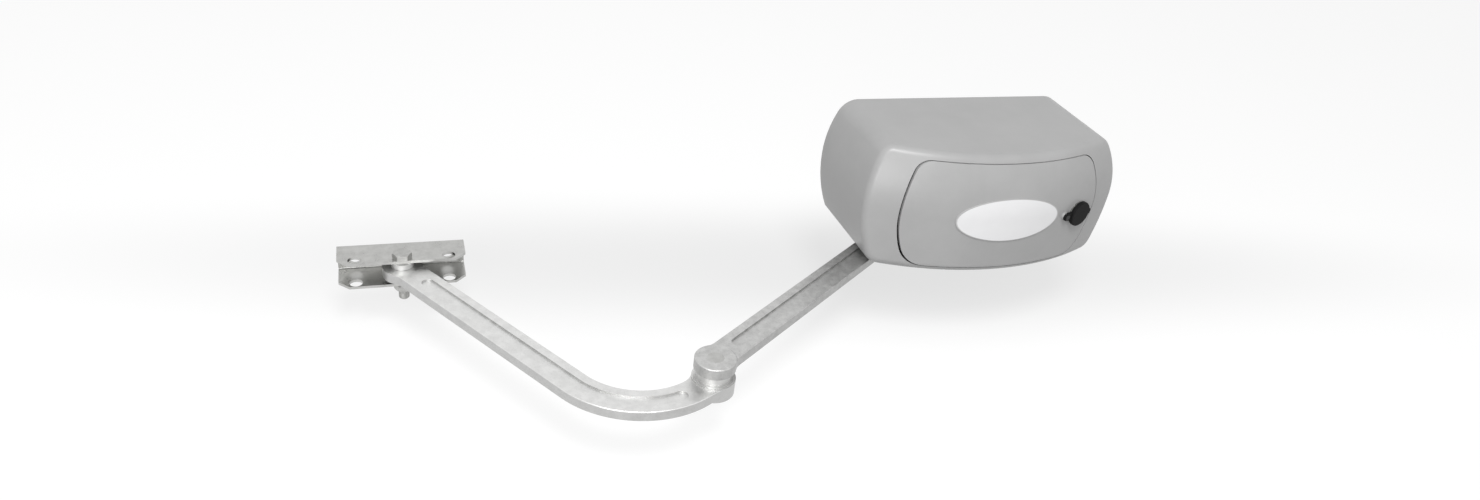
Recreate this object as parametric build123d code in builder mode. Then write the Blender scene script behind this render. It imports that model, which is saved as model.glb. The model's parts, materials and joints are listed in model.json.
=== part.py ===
from build123d import *
from math import acos, atan2, cos, pi, radians, sin, sqrt, tan
import os

# Swing gate operator with an articulated arm.
# Millimetres. X runs along the wall, +Y into the wall, +Z up.
# The origin is the centre of the wall bolt pattern, on the wall face.
# Heights called levels are counted from the lower edge of the cover.

os.makedirs("parts", exist_ok=True)

# Cover and its bowed front
cover_height = 137.0
cover_depth = 165.0
cover_wall = 3.0
width_top = 272.0
width_middle = 309.4
width_bottom = 276.4
widest_height = 73.0
draft_side = -0.6
draft_top = 3.0
shoulder_back = 25.0
shoulder_front = 15.0
foot_back = 4.5
foot_front = 22.0
front_radius = 310.0
front_lean_top = 21.6
front_lean_bottom = 1.7
front_edge_radius = 11.0

# Hatch in the front of the cover
hatch_margin = 35.2
hatch_side_bow = 17.0
hatch_top_margin = 10.8
hatch_bottom = 8.0
hatch_radius_top = 20.0
hatch_radius_bottom = 28.0
hatch_gap_hinge = 2.4
hatch_gap = 0.8
hinge_inset = 16.7
hinge_setback = 40.5
hinge_pin_diameter = 3.0
hinge_eye_radius = 3.6
hinge_neck_depth = 20.0
hinge_arm_reach = 25.0
hinge_arm_width = 10.0
hinge_arm_plate = 2.5
hinge_ear = 3.7
hinge_levels = (48.0, 70.0)

# Badge and lock on the hatch
badge_width = 126.0
badge_height = 50.0
badge_x = -1.0
badge_level = 67.0
badge_plate = 1.2
lock_margin = 25.5
lock_level = 63.5
lock_body_radius = 9.0
lock_plug_radius = 5.5
lock_length = 24.0
lock_flange_radius = 13.5
lock_flange = 2.0
lock_nut_radius = 12.5
lock_nut = 4.0
lock_cam_reach = 41.0
lock_cam_width = 12.0
lock_cam_plate = 2.5
lock_key_slot = (1.6, 7.0)
keeper_gap = 3.2
keeper_width = 7.5
keeper_setback = 43.8
cap_radius = 14.5
cap_plate = 4.2
cap_dome = 1.4
cap_strap = 2.4
cap_strap_edge = 0.6
cap_ear_reach = 21.0
cap_ear_radius = 4.5
rivet_diameter = 3.0
rivet_head_radius = 3.0
rivet_head = 0.8

# Wall plate and its anchor holes
plate_thickness = 4.0
plate_width = 244.0
plate_height = 112.0
plate_corner = 8.0
anchor_spacing_x = 210.0
anchor_spacing_z = 90.0
anchor_hole = 9.0

# Gear train
output_x = -88.0
output_y = -65.5
pressure_angle = 25.0
gear_module = 2.0
gear_teeth = 36
pinion_teeth = 12
gear_width = 12.0
gear_backlash = 0.35
gear_low = 22.0
worm_module = 1.5
worm_wheel_teeth = 30
worm_wheel_width = 8.0
worm_pitch_radius = 8.0
worm_turns = 6
worm_level = 50.0
worm_backlash = 1.0
thread_sunk = 0.4
output_radius = 15.0
output_upper_radius = 12.5
cam_seat_radius = 10.0
square_drive = 18.0
shaft2_radius = 6.0
worm_shaft_radius = 4.0
flank_steps = 4

# Gear case
case_wall = 3.5
case_floor = 5.0
case_rim_level = 78.0
case_corner = 12.0
case_inside = 3.0
pedestal_gap = 3.0
pedestal_length = 8.0
pedestal_half = 10.0
guide_pad = 5.0
gear_clearance = 2.0
lid_thickness = 5.0
gasket_thickness = 0.5
bearing_width = 13.0
bearing_outer = 27.5
bearing_low = 7.0
upper_bearing_width = 12.0
upper_bearing_outer = 23.5
small_bearing_outer = 14.0
small_bearing_width = 8.0
small_bearing_low = 11.5
motor_bearing_outer = 11.0
motor_bearing_width = 7.0
hub_wall = 4.0
hub_low = 1.5
seal_outer = 21.0
seal_width = 3.0
lug_radius = 5.0
lug_low = 66.0
lug_offset = 3.5
lug_x = (-88.0, -56.0, -24.0)
case_post_radius = 8.0
case_post_x = (-96.0, -26.0)
case_post_levels = (38.0, 58.0)
post_screw_length = 14.0
post_screw_radius = 3.0
post_screw_head = 6.0
lid_screw_radius = 2.0
lid_screw_head_radius = 3.5
lid_screw_head = 2.5

# Clutch and release
clutch_radius = 15.0
clutch_neck_radius = 11.0
clutch_flange_low = 3.5
clutch_groove = 5.0
clutch_flange_high = 2.5
clutch_lift = 4.0
dog_radius = 2.0
dog_circle = 10.5
dog_length = 3.5
dog_play = 0.15
fork_plate = 4.2
fork_half_width = 17.0
fork_tab = 4.0
fork_tab_height = 10.0
release_shaft_radius = 5.0
release_pin_radius = 2.5
release_pin_play = 0.25
lever_length = 36.0
lever_width = 12.0
lever_thickness = 8.0
guide_radius = 2.5
guide_offset = 19.0
guide_from_wall = 9.0
guide_levels = (50.0, 54.0)
release_level = 68.0
release_sleeve = 2.0
tab_behind_guide = 3.5

# Motor
motor_radius = 28.0
motor_wall = 2.5
motor_length = 90.0
motor_flange = 5.0
motor_cap = 11.0
motor_cap_play = 1.5
armature_inset = 14.0
magnet_overhang = 2.0
armature_radius = 18.0
armature_length = 54.0
magnet_thickness = 5.5
magnet_gap_angle = 40.0
commutator_radius = 10.0
commutator_length = 13.0
commutator_gap = 3.0
brush_ring_width = 9.0
brush_ring_gap = 1.0
brush_size = (6.0, 8.0, 6.0)

# Tray under the cover
tray_level = 6.5
tray_thickness = 3.0
tray_gap = 0.4
cover_boss_radius = 5.0
cover_boss_top = 20.0
cover_boss_margin = 16.0
cover_boss_depths = (14.0, 116.0)
boss_cap = 1.0
tray_screw_radius = 2.0
tray_screw_head_radius = 3.5
tray_screw_head = 2.0
tray_screw_end = 18.0
gland_x = 100.0
gland_y = -40.0
gland_radius = 10.0
gland_flat = 3.0
gland_neck = 4.0
gland_cap = 5.0
gland_nut = 4.0
gland_thread = 6.0

# Electrical parts
board_x = (4.0, 118.0)
board_levels = (14.0, 112.0)
board_depth = 92.0
board_post_radius = 4.0
stud_inset = 6.0
stud_offsets_low = (3.5, 26.0)
stud_offsets_high = (4.0, 12.0)
transformer_x = (20.0, 80.0)
transformer_levels = (84.0, 124.0)
transformer_depth = 34.0
transformer_leg = 9.0
transformer_yoke = 7.0
window_edge = 16.0
coil_play = 0.2
coil_front = 8.0
coil_back = 3.5
core_foot = 4.0
core_ear = 8.0
core_side = 6.0
carrier_plate = 2.5
carrier_post = 3.5
board_plate = 1.6
board_edge = 4.0
terminal_inset = 16.0
terminal_block = 10.0
relay_width = 16.0
relay_height = 20.0
relay_depth = 12.0
relay_pitch = 24.0

# Limit cams and switches
cam_radius = 14.0
cam_hub_radius = 12.0
cam_lobe_radius = 4.0
cam_lobe_angle = 60.0
cam_width = 6.0
cam_pitch = 8.0
cam_above_lid = 3.0
switch_offset = 20.0
switch_length = 20.0
switch_thickness = 10.0
plunger_length = 1.5
plunger_width = 4.0
switch_sheet = 2.0
switch_foot = 12.0

# Arms
arm_length = 330.0
arm_angle = 216.87
arm_width = 31.0
arm_thickness = 10.5
arm_gap = 1.5
arm_neck_radius = 22.0
boss_radius = 20.0
boss_height = 11.5
elbow_boss_radius = 21.0
elbow_boss_drop = 3.8
groove_width = 12.5
groove_depth = 2.0
groove_start = 29.0
arm_edge = 1.0
arm_spacing = 22.0
elbow_pin_radius = 8.0
elbow_bush_radius = 16.6
elbow_ring_height = 2.6
elbow_ring_step = 1.5
bush_wall = 2.0
elbow_washer_plate = 2.0
elbow_washer_radius = 14.0
clip_groove = 1.4
clip_groove_depth = 1.0
clip_play = 0.1
clip_radius = 11.0
clip_opening = 9.0
pin_past_clip = 1.3
arm_washer_plate = 3.0
arm_washer_radius = 15.0
arm_screw_length = 20.0
arm_screw_bore = 22.0
curved_lead = 8.0
curved_bend_radius = 82.0
curved_bend_angle = 97.3
curved_straight = 256.0
curved_heading = 220.15
curved_groove_start = 36.0

# Gate bracket
bracket_length = 126.0
bracket_depth = 39.0
bracket_height = 30.0
bracket_plate = 3.0
bracket_bend = 4.0
bracket_hole_spacing = 92.0
bracket_hole = 13.0
bracket_chamfer = 10.5
bracket_headroom = 6.2
bolt_from_web_back = 32.2
bolt_radius = 5.0
hex_width = 17.0
hex_head = 6.4
hex_turned = 1.2
bolt_end = 1.0
nut_height = 6.5
bolt_past_nut = 12.0
spacer_radius = 11.0

# Clearances of running fits and of seats, on the radius, and between faces
running = 0.05
seat = 0.02
screw_play = 0.1
face_gap = 0.3

cover_bottom = -cover_height / 2
cover_top = cover_height / 2
pinion_radius = gear_module * pinion_teeth / 2
gear_radius = gear_module * gear_teeth / 2
wheel_radius = worm_module * worm_wheel_teeth / 2
shaft2_x = output_x + gear_radius + pinion_radius
shaft2_y = output_y
worm_y = shaft2_y + wheel_radius + worm_pitch_radius
tray_top = tray_level + tray_thickness
hatch_half_width = width_middle / 2 - hatch_margin
hatch_top = cover_height - hatch_top_margin
hinge_x = hinge_inset - width_middle / 2
hinge_depth = cover_depth - hinge_setback
hinge_y = -hinge_depth
lock_x = hatch_half_width - lock_margin
cover_boss_x = width_bottom / 2 - cover_boss_margin
hub_radius = bearing_outer + hub_wall


def level(z):
    """Turn a height above the cover's lower edge into a Z coordinate."""
    return cover_bottom + z


def front_depth(x):
    """Depth of the front at half height, at a distance x from the middle."""
    return cover_depth - front_radius + sqrt(front_radius**2 - x**2)


def drum(x, y, low, high, radius, mode=Mode.ADD):
    """Upright cylinder between two levels."""
    with Locations((x, y, level(low))):
        Cylinder(radius, high - low, align=(Align.CENTER, Align.CENTER, Align.MIN), mode=mode)


def bar(low_x, high_x, y, z, radius, mode=Mode.ADD):
    """Cylinder along X between two x values."""
    with Locations(Location((low_x, y, z), (0, 90, 0))):
        Cylinder(radius, high_x - low_x, align=(Align.CENTER, Align.CENTER, Align.MIN), mode=mode)


def peg(x, z, low_depth, high_depth, radius, mode=Mode.ADD):
    """Cylinder along Y between two depths from the wall."""
    with Locations(Location((x, -low_depth, z), (90, 0, 0))):
        Cylinder(radius, high_depth - low_depth, align=(Align.CENTER, Align.CENTER, Align.MIN), mode=mode)


def block(x, depth, levels, mode=Mode.ADD):
    """Box between two x values, two depths from the wall and two levels."""
    with Locations((x[0], -depth[1], level(levels[0]))):
        Box(
            x[1] - x[0],
            depth[1] - depth[0],
            levels[1] - levels[0],
            align=(Align.MIN, Align.MIN, Align.MIN),
            mode=mode,
        )


def hexagon(x, y, low, high):
    """Hexagon head or nut between two levels, its corners turned off at both ends."""
    with BuildPart() as head:
        drum(x, y, low, high, hex_width / sqrt(3))
        chamfer(head.edges().filter_by(GeomType.CIRCLE), hex_turned)
        with BuildSketch(Plane.XY.offset(level(low))):
            with Locations((x, y)):
                RegularPolygon(hex_width / 2, 6, major_radius=False)
        extrude(amount=high - low, mode=Mode.INTERSECT)
    return head.part


def cover_outline(plane, inset, draft_x, drop, shoulder, foot):
    """Barrel-sided front outline of the cover, with its shoulders and feet rounded."""
    half_top = width_top / 2 - inset - draft_x
    half_middle = width_middle / 2 - inset - draft_x
    half_bottom = width_bottom / 2 - inset - draft_x
    top = cover_top - inset - drop
    bottom = cover_bottom + inset
    middle = level(widest_height)
    with BuildSketch(plane) as outline:
        with BuildLine():
            Line((-half_bottom, bottom), (half_bottom, bottom))
            TangentArc((half_middle, middle), (half_bottom, bottom), tangent=(0, -1))
            TangentArc((half_middle, middle), (half_top, top), tangent=(0, 1))
            Line((half_top, top), (-half_top, top))
            TangentArc((-half_middle, middle), (-half_top, top), tangent=(0, 1))
            TangentArc((-half_middle, middle), (-half_bottom, bottom), tangent=(0, -1))
        make_face()
        fillet(outline.vertices().group_by(Axis.Y)[-1], shoulder)
        fillet(outline.vertices().group_by(Axis.Y)[0], foot)
    return outline.sketch


def front_form(inset):
    """Solid of revolution whose outside is the bowed, leaning front."""
    axis_y = front_radius - cover_depth
    nose = axis_y - front_radius + inset
    with BuildPart() as form:
        with BuildSketch(Plane.YZ):
            with BuildLine():
                Line((axis_y, cover_bottom), (axis_y, cover_top))
                Line((axis_y, cover_top), (nose + front_lean_top, cover_top))
                TangentArc((nose, 0), (nose + front_lean_top, cover_top), tangent=(0, 1))
                TangentArc((nose, 0), (nose + front_lean_bottom, cover_bottom), tangent=(0, -1))
                Line((nose + front_lean_bottom, cover_bottom), (axis_y, cover_bottom))
            make_face()
        revolve(axis=Axis((0, axis_y, 0), (0, 0, 1)))
    return form.part


def cover_form(inset):
    """Outer form of the cover, moved inwards by an even inset."""
    nose = Plane.XZ.offset(cover_depth)
    shoulders = (shoulder_back - inset, shoulder_front - inset)
    feet = (foot_back - inset, foot_front - inset)
    with BuildPart() as form:
        add(cover_outline(Plane.XZ, inset, 0, 0, shoulders[0], feet[0]))
        add(cover_outline(nose, inset, draft_side, draft_top, shoulders[1], feet[1]))
        loft(ruled=True)
        add(front_form(inset), mode=Mode.INTERSECT)
        front = form.faces().sort_by(lambda face: face.center().Y)[0]
        fillet(front.edges(), front_edge_radius - inset)
    return form.part


def hatch_prism(gap_hinge, gap):
    """Prism through the front with the outline of the hatch, grown by its gaps."""
    left = -hatch_half_width - gap_hinge
    right = hatch_half_width + gap
    left_end = left + hatch_side_bow
    right_end = right - hatch_side_bow
    top = level(hatch_top) + gap
    bottom = level(hatch_bottom) - gap
    middle = (top + bottom) / 2
    with BuildPart() as prism:
        with BuildSketch(Plane.XZ.offset(cover_depth / 2)) as outline:
            with BuildLine():
                Line((left_end, bottom), (right_end, bottom))
                ThreePointArc((right_end, bottom), (right, middle), (right_end, top))
                Line((right_end, top), (left_end, top))
                ThreePointArc((left_end, top), (left, middle), (left_end, bottom))
            make_face()
            fillet(outline.vertices().group_by(Axis.Y)[-1], hatch_radius_top + gap)
            fillet(outline.vertices().group_by(Axis.Y)[0], hatch_radius_bottom + gap)
        extrude(amount=cover_depth)
    return prism.part


outer_form = cover_form(0)
inner_form = cover_form(cover_wall)

# Plane of the lock: square to the bowed front at the lock's place
lock_lean = atan2(lock_x, front_depth(lock_x) - cover_depth + front_radius)
lock_axis = (sin(lock_lean), -cos(lock_lean), 0)
lock_plane = Plane(
    origin=(lock_x, -front_depth(lock_x), level(lock_level)),
    x_dir=(cos(lock_lean), sin(lock_lean), 0),
    z_dir=lock_axis,
)
lock_seat = lock_flange_radius**2 / front_radius / 2
lock_face = lock_flange - lock_seat
strap_side = Axis((0, 0, 0), lock_axis)
keeper_low = hatch_half_width + hatch_gap + keeper_gap
keeper_x = (keeper_low, keeper_low + keeper_width)
keeper_depth = cover_depth - keeper_setback

# Cover: moulded shell, open at the back, with a lip round its open underside
with BuildPart() as cover:
    add(outer_form)
    add(inner_form, mode=Mode.SUBTRACT)
    underside = outer_form.faces().sort_by(Axis.Z)[0]
    extrude(underside, amount=tray_level, dir=(0, 0, 1), mode=Mode.SUBTRACT)
    for side in (-1, 1):
        for depth in cover_boss_depths:
            drum(side * cover_boss_x, -depth, tray_top, cover_boss_top, cover_boss_radius)
            web = sorted((side * cover_boss_x, side * width_middle / 2))
            block(web, (depth - cover_wall / 2, depth + cover_wall / 2), (tray_top, cover_boss_top))
    for low in hinge_levels:
        for ear_low in (low - face_gap - hinge_ear, low + hinge_arm_width + face_gap):
            eye_edge = hinge_x + hinge_eye_radius
            block(
                (-width_middle / 2, eye_edge),
                (hinge_depth - hinge_eye_radius, cover_depth),
                (ear_low, ear_low + hinge_ear),
            )
    block(keeper_x, (keeper_depth, cover_depth), (lock_level - lock_cam_width, lock_level + lock_cam_width))
    add(outer_form, mode=Mode.INTERSECT)
    add(hatch_prism(hatch_gap_hinge, hatch_gap), mode=Mode.SUBTRACT)
    for side in (-1, 1):
        for depth in cover_boss_depths:
            bore_top = cover_boss_top - boss_cap
            drum(side * cover_boss_x, -depth, tray_top, bore_top, tray_screw_radius, mode=Mode.SUBTRACT)
    for low in hinge_levels:
        drum(
            hinge_x,
            hinge_y,
            low - face_gap - hinge_ear,
            low + hinge_arm_width + face_gap + hinge_ear,
            hinge_pin_diameter / 2 + seat,
            mode=Mode.SUBTRACT,
        )
cover.part.label = "cover"
export_step(cover.part, "parts/cover.step")

# Hinge pins of the hatch
with BuildPart() as hinge_pins:
    for low in hinge_levels:
        drum(
            hinge_x,
            hinge_y,
            low - face_gap - hinge_ear,
            low + hinge_arm_width + face_gap + hinge_ear,
            hinge_pin_diameter / 2,
        )
hinge_pins.part.label = "hinge_pins"
export_step(hinge_pins.part, "parts/hinge_pins.step")

# Hatch: the middle of the bowed front, with two swan-neck hinge arms behind it
neck = (hinge_neck_depth - hinge_arm_plate / 2, hinge_neck_depth + hinge_arm_plate / 2)
half_arm = hinge_arm_plate / 2
arm_end_x = hinge_x + hinge_arm_reach
with BuildPart() as hatch:
    add(outer_form)
    add(inner_form, mode=Mode.SUBTRACT)
    add(hatch_prism(0, 0), mode=Mode.INTERSECT)
    for low in hinge_levels:
        levels = (low, low + hinge_arm_width)
        block((hinge_x - half_arm, hinge_x + half_arm), (hinge_depth - neck[1], hinge_depth), levels)
        neck_depth = (hinge_depth - neck[1], hinge_depth - neck[0])
        block((hinge_x - half_arm, arm_end_x + half_arm), neck_depth, levels)
        block(
            (arm_end_x - half_arm, arm_end_x + half_arm),
            (hinge_depth - neck[1], front_depth(arm_end_x) - cover_wall / 2),
            levels,
        )
        pin_bore = hinge_pin_diameter / 2 + running
        drum(hinge_x, hinge_y, low, low + hinge_arm_width, hinge_eye_radius)
        drum(hinge_x, hinge_y, low, low + hinge_arm_width, pin_bore, mode=Mode.SUBTRACT)
    with Locations(lock_plane):
        with Locations((-cap_ear_reach, 0, -cover_wall / 2)):
            Cylinder(
                cap_ear_radius,
                cover_wall / 2 + lock_face,
                align=(Align.CENTER, Align.CENTER, Align.MIN),
            )
            Cylinder(
                rivet_diameter / 2 + seat,
                cover_wall + lock_face,
                align=(Align.CENTER, Align.CENTER, Align.MIN),
                mode=Mode.SUBTRACT,
            )
        with Locations((0, 0, -lock_seat)):
            Cylinder(
                lock_flange_radius + running,
                lock_flange * 2,
                align=(Align.CENTER, Align.CENTER, Align.MIN),
                mode=Mode.SUBTRACT,
            )
        with Locations((0, 0, -cover_wall)):
            Cylinder(
                lock_nut_radius + running,
                lock_nut,
                align=(Align.CENTER, Align.CENTER, Align.MAX),
                mode=Mode.SUBTRACT,
            )
        Cylinder(lock_body_radius + seat, lock_length, mode=Mode.SUBTRACT)
hatch.part.label = "hatch"
export_step(hatch.part, "parts/hatch.step")

# Badge: blank oval plate on the hatch
with BuildPart() as badge:
    with BuildSketch(Plane.XZ.offset(cover_depth / 2)):
        with Locations((badge_x, level(badge_level))):
            Ellipse(badge_width / 2, badge_height / 2)
    extrude(amount=cover_depth)
    add(front_form(-badge_plate), mode=Mode.INTERSECT)
    add(front_form(0), mode=Mode.SUBTRACT)
badge.part.label = "badge_plate"
export_step(badge.part, "parts/badge_plate.step")

# Lock barrel, held through the hatch by its nut
with BuildPart(lock_plane) as lock_barrel:
    with Locations((0, 0, -lock_seat)):
        Cylinder(lock_flange_radius, lock_flange, align=(Align.CENTER, Align.CENTER, Align.MIN))
    Cylinder(lock_body_radius, lock_length - lock_seat, align=(Align.CENTER, Align.CENTER, Align.MAX))
    Cylinder(lock_plug_radius + running, lock_length * 2, mode=Mode.SUBTRACT)
lock_barrel.part.label = "lock_barrel"
export_step(lock_barrel.part, "parts/lock_barrel.step")

with BuildPart(lock_plane) as lock_nut_part:
    with BuildSketch(lock_plane.offset(-cover_wall - lock_nut)):
        RegularPolygon(lock_nut_radius, 6)
        Circle(lock_body_radius + seat, mode=Mode.SUBTRACT)
    extrude(amount=lock_nut)
lock_nut_part.part.label = "lock_nut"
export_step(lock_nut_part.part, "parts/lock_nut.step")

# Lock plug with its key slot, and the cam on its inner end
cam_face = -lock_length - face_gap
with BuildPart(lock_plane) as lock_plug:
    with Locations((0, 0, lock_face - face_gap)):
        Cylinder(
            lock_plug_radius,
            lock_face - face_gap - cam_face + lock_cam_plate,
            align=(Align.CENTER, Align.CENTER, Align.MAX),
        )
        Box(lock_key_slot[0], lock_key_slot[1], lock_key_slot[1], mode=Mode.SUBTRACT)
lock_plug.part.label = "lock_plug"
export_step(lock_plug.part, "parts/lock_plug.step")

with BuildPart(lock_plane) as lock_cam:
    with BuildSketch(lock_plane.offset(cam_face - lock_cam_plate)):
        Circle(lock_cam_width / 2 + cover_wall)
        with Locations((0, lock_cam_reach / 2)):
            Rectangle(lock_cam_width, lock_cam_reach)
        Circle(lock_plug_radius + seat, mode=Mode.SUBTRACT)
    extrude(amount=lock_cam_plate)
lock_cam.part.label = "lock_cam"
export_step(lock_cam.part, "parts/lock_cam.step")

# Rubber cap over the keyhole, turning on a rivet through its ear
with BuildPart(lock_plane) as lock_cap:
    with BuildSketch(lock_plane.offset(lock_face)):
        with Locations(((cap_radius - cap_ear_reach) / 2, 0)):
            SlotCenterToCenter(cap_radius + cap_ear_reach, cap_ear_radius * 2)
    extrude(amount=cap_strap)
    fillet(lock_cap.faces().sort_by(strap_side)[-1].edges(), cap_strap_edge)
    with Locations((0, 0, lock_face)):
        Cylinder(cap_radius, cap_plate, align=(Align.CENTER, Align.CENTER, Align.MIN))
    fillet(lock_cap.faces().sort_by(strap_side)[-1].edges(), cap_dome)
    with Locations((-cap_ear_reach, 0, lock_face)):
        Cylinder(rivet_diameter / 2 + running, cap_plate * 3, mode=Mode.SUBTRACT)
lock_cap.part.label = "lock_cap"
export_step(lock_cap.part, "parts/lock_cap.step")

with BuildPart(lock_plane) as cap_rivet:
    with Locations((-cap_ear_reach, 0, lock_face + cap_strap + running)):
        Cylinder(rivet_head_radius, rivet_head, align=(Align.CENTER, Align.CENTER, Align.MIN))
        Cylinder(rivet_diameter / 2, cap_strap + cover_wall, align=(Align.CENTER, Align.CENTER, Align.MAX))
cap_rivet.part.label = "cap_rivet"
export_step(cap_rivet.part, "parts/cap_rivet.step")

# Tray that closes the underside, with the output hub and the cable gland in it
with BuildPart() as tray:
    add(cover_form(cover_wall + tray_gap))
    block((-width_middle, width_middle), (0, cover_depth * 2), (tray_level, tray_top), mode=Mode.INTERSECT)
    drum(output_x, output_y, tray_level, tray_top, hub_radius + face_gap, mode=Mode.SUBTRACT)
    drum(gland_x, gland_y, tray_level, tray_top, gland_radius + running, mode=Mode.SUBTRACT)
    for side in (-1, 1):
        for depth in cover_boss_depths:
            screw_bore = tray_screw_radius + running
            drum(side * cover_boss_x, -depth, tray_level, tray_top, screw_bore, mode=Mode.SUBTRACT)
tray.part.label = "bottom_tray"
export_step(tray.part, "parts/bottom_tray.step")

with BuildPart() as tray_screws:
    for side in (-1, 1):
        for depth in cover_boss_depths:
            head_low = tray_level - tray_screw_head
            drum(side * cover_boss_x, -depth, head_low, tray_level, tray_screw_head_radius)
            drum(side * cover_boss_x, -depth, tray_level, tray_screw_end, tray_screw_radius - seat)
tray_screws.part.label = "tray_screws"
export_step(tray_screws.part, "parts/tray_screws.step")

# Cable gland with its clamping cap and its lock nut
with BuildPart() as cable_gland:
    thread_end = tray_top + gland_thread
    drum(gland_x, gland_y, tray_level - gland_neck, thread_end, gland_radius)
    with BuildSketch(Plane.XY.offset(level(tray_level - gland_cap))):
        with Locations((gland_x, gland_y)):
            RegularPolygon(gland_radius + gland_flat, 6)
    extrude(amount=gland_cap)
    with BuildSketch(Plane.XY.offset(level(tray_top))):
        with Locations((gland_x, gland_y)):
            RegularPolygon(gland_radius + gland_flat, 6)
    extrude(amount=gland_nut)
    drum(gland_x, gland_y, tray_level - gland_cap, thread_end, gland_radius / 2, mode=Mode.SUBTRACT)
cable_gland.part.label = "cable_gland"
export_step(cable_gland.part, "parts/cable_gland.step")

# Wall plate with welded studs for the board, anchor holes and countersunk holes for the gear case
post_points = (
    (board_x[0] + stud_inset, board_levels[0] + stud_offsets_low[0]),
    (board_x[1] - stud_inset, board_levels[0] + stud_offsets_low[1]),
    (board_x[0] + stud_inset, board_levels[1] - stud_offsets_high[0]),
    (board_x[1] - stud_inset, board_levels[1] - stud_offsets_high[1]),
)
with BuildPart() as wall_plate:
    with BuildSketch(Plane.XZ):
        RectangleRounded(plate_width, plate_height, plate_corner)
        with GridLocations(anchor_spacing_x, anchor_spacing_z, 2, 2):
            Circle(anchor_hole / 2, mode=Mode.SUBTRACT)
    extrude(amount=plate_thickness)
    for x in case_post_x:
        for height in case_post_levels:
            with Locations(Location((x, 0, level(height)), (90, 0, 0))):
                CounterSinkHole(
                    post_screw_radius + screw_play,
                    post_screw_head + screw_play,
                    plate_thickness * 2,
                    90,
                )
    for x, height in post_points:
        peg(x, level(height), plate_thickness, board_depth, board_post_radius)
wall_plate.part.label = "wall_plate"
export_step(wall_plate.part, "parts/wall_plate.step")

with BuildPart() as plate_screws:
    for x in case_post_x:
        for height in case_post_levels:
            with Locations(Location((x, 0, level(height)), (90, 0, 0))):
                Cone(
                    post_screw_head,
                    post_screw_radius,
                    post_screw_head - post_screw_radius,
                    align=(Align.CENTER, Align.CENTER, Align.MIN),
                )
            peg(x, level(height), 0, plate_thickness + post_screw_length - 2, post_screw_radius)
plate_screws.part.label = "plate_screws"
export_step(plate_screws.part, "parts/plate_screws.step")

# Gear case: cast housing with posts to the wall plate, hubs and screw lugs
gear_tip = gear_radius + gear_module
wheel_tip = wheel_radius + worm_module
case_left = output_x - gear_tip - gear_clearance
case_right = shaft2_x + wheel_tip + gear_clearance
case_front = output_y - gear_tip - gear_clearance
case_back = worm_y + worm_pitch_radius + worm_module + gear_clearance
case_round = gear_tip + gear_clearance
lug_sides = (case_front - case_wall - lug_offset, case_back + case_wall + lug_offset)
lug_points = [(x, y) for x in lug_x for y in lug_sides]
small_hub = small_bearing_outer + case_wall
upper_hub = upper_bearing_outer + hub_wall
pedestal_low = shaft2_x - wheel_tip - pedestal_gap
pedestal_x = (pedestal_low, pedestal_low + pedestal_length)
motor_seat_x = case_right - motor_bearing_width + case_wall / 2
guide_x = shaft2_x + guide_offset
release_z = level(release_level)
worm_z = level(worm_level)
guide_depth = -case_front - guide_from_wall
release_tab_depth = guide_depth - tab_behind_guide


def case_outline(grow):
    """Plan of the gear case, its left end concentric with the output gear."""
    left = case_left - grow
    right = case_right + grow
    front = case_front - grow
    back = case_back + grow
    with BuildSketch() as plan:
        with Locations(((left + right) / 2, (front + back) / 2)):
            Rectangle(right - left, back - front)
        fillet(plan.vertices().group_by(Axis.X)[0], case_round + grow - gear_clearance)
        fillet(plan.vertices().group_by(Axis.X)[-1], case_corner)
    return plan.sketch


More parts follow.
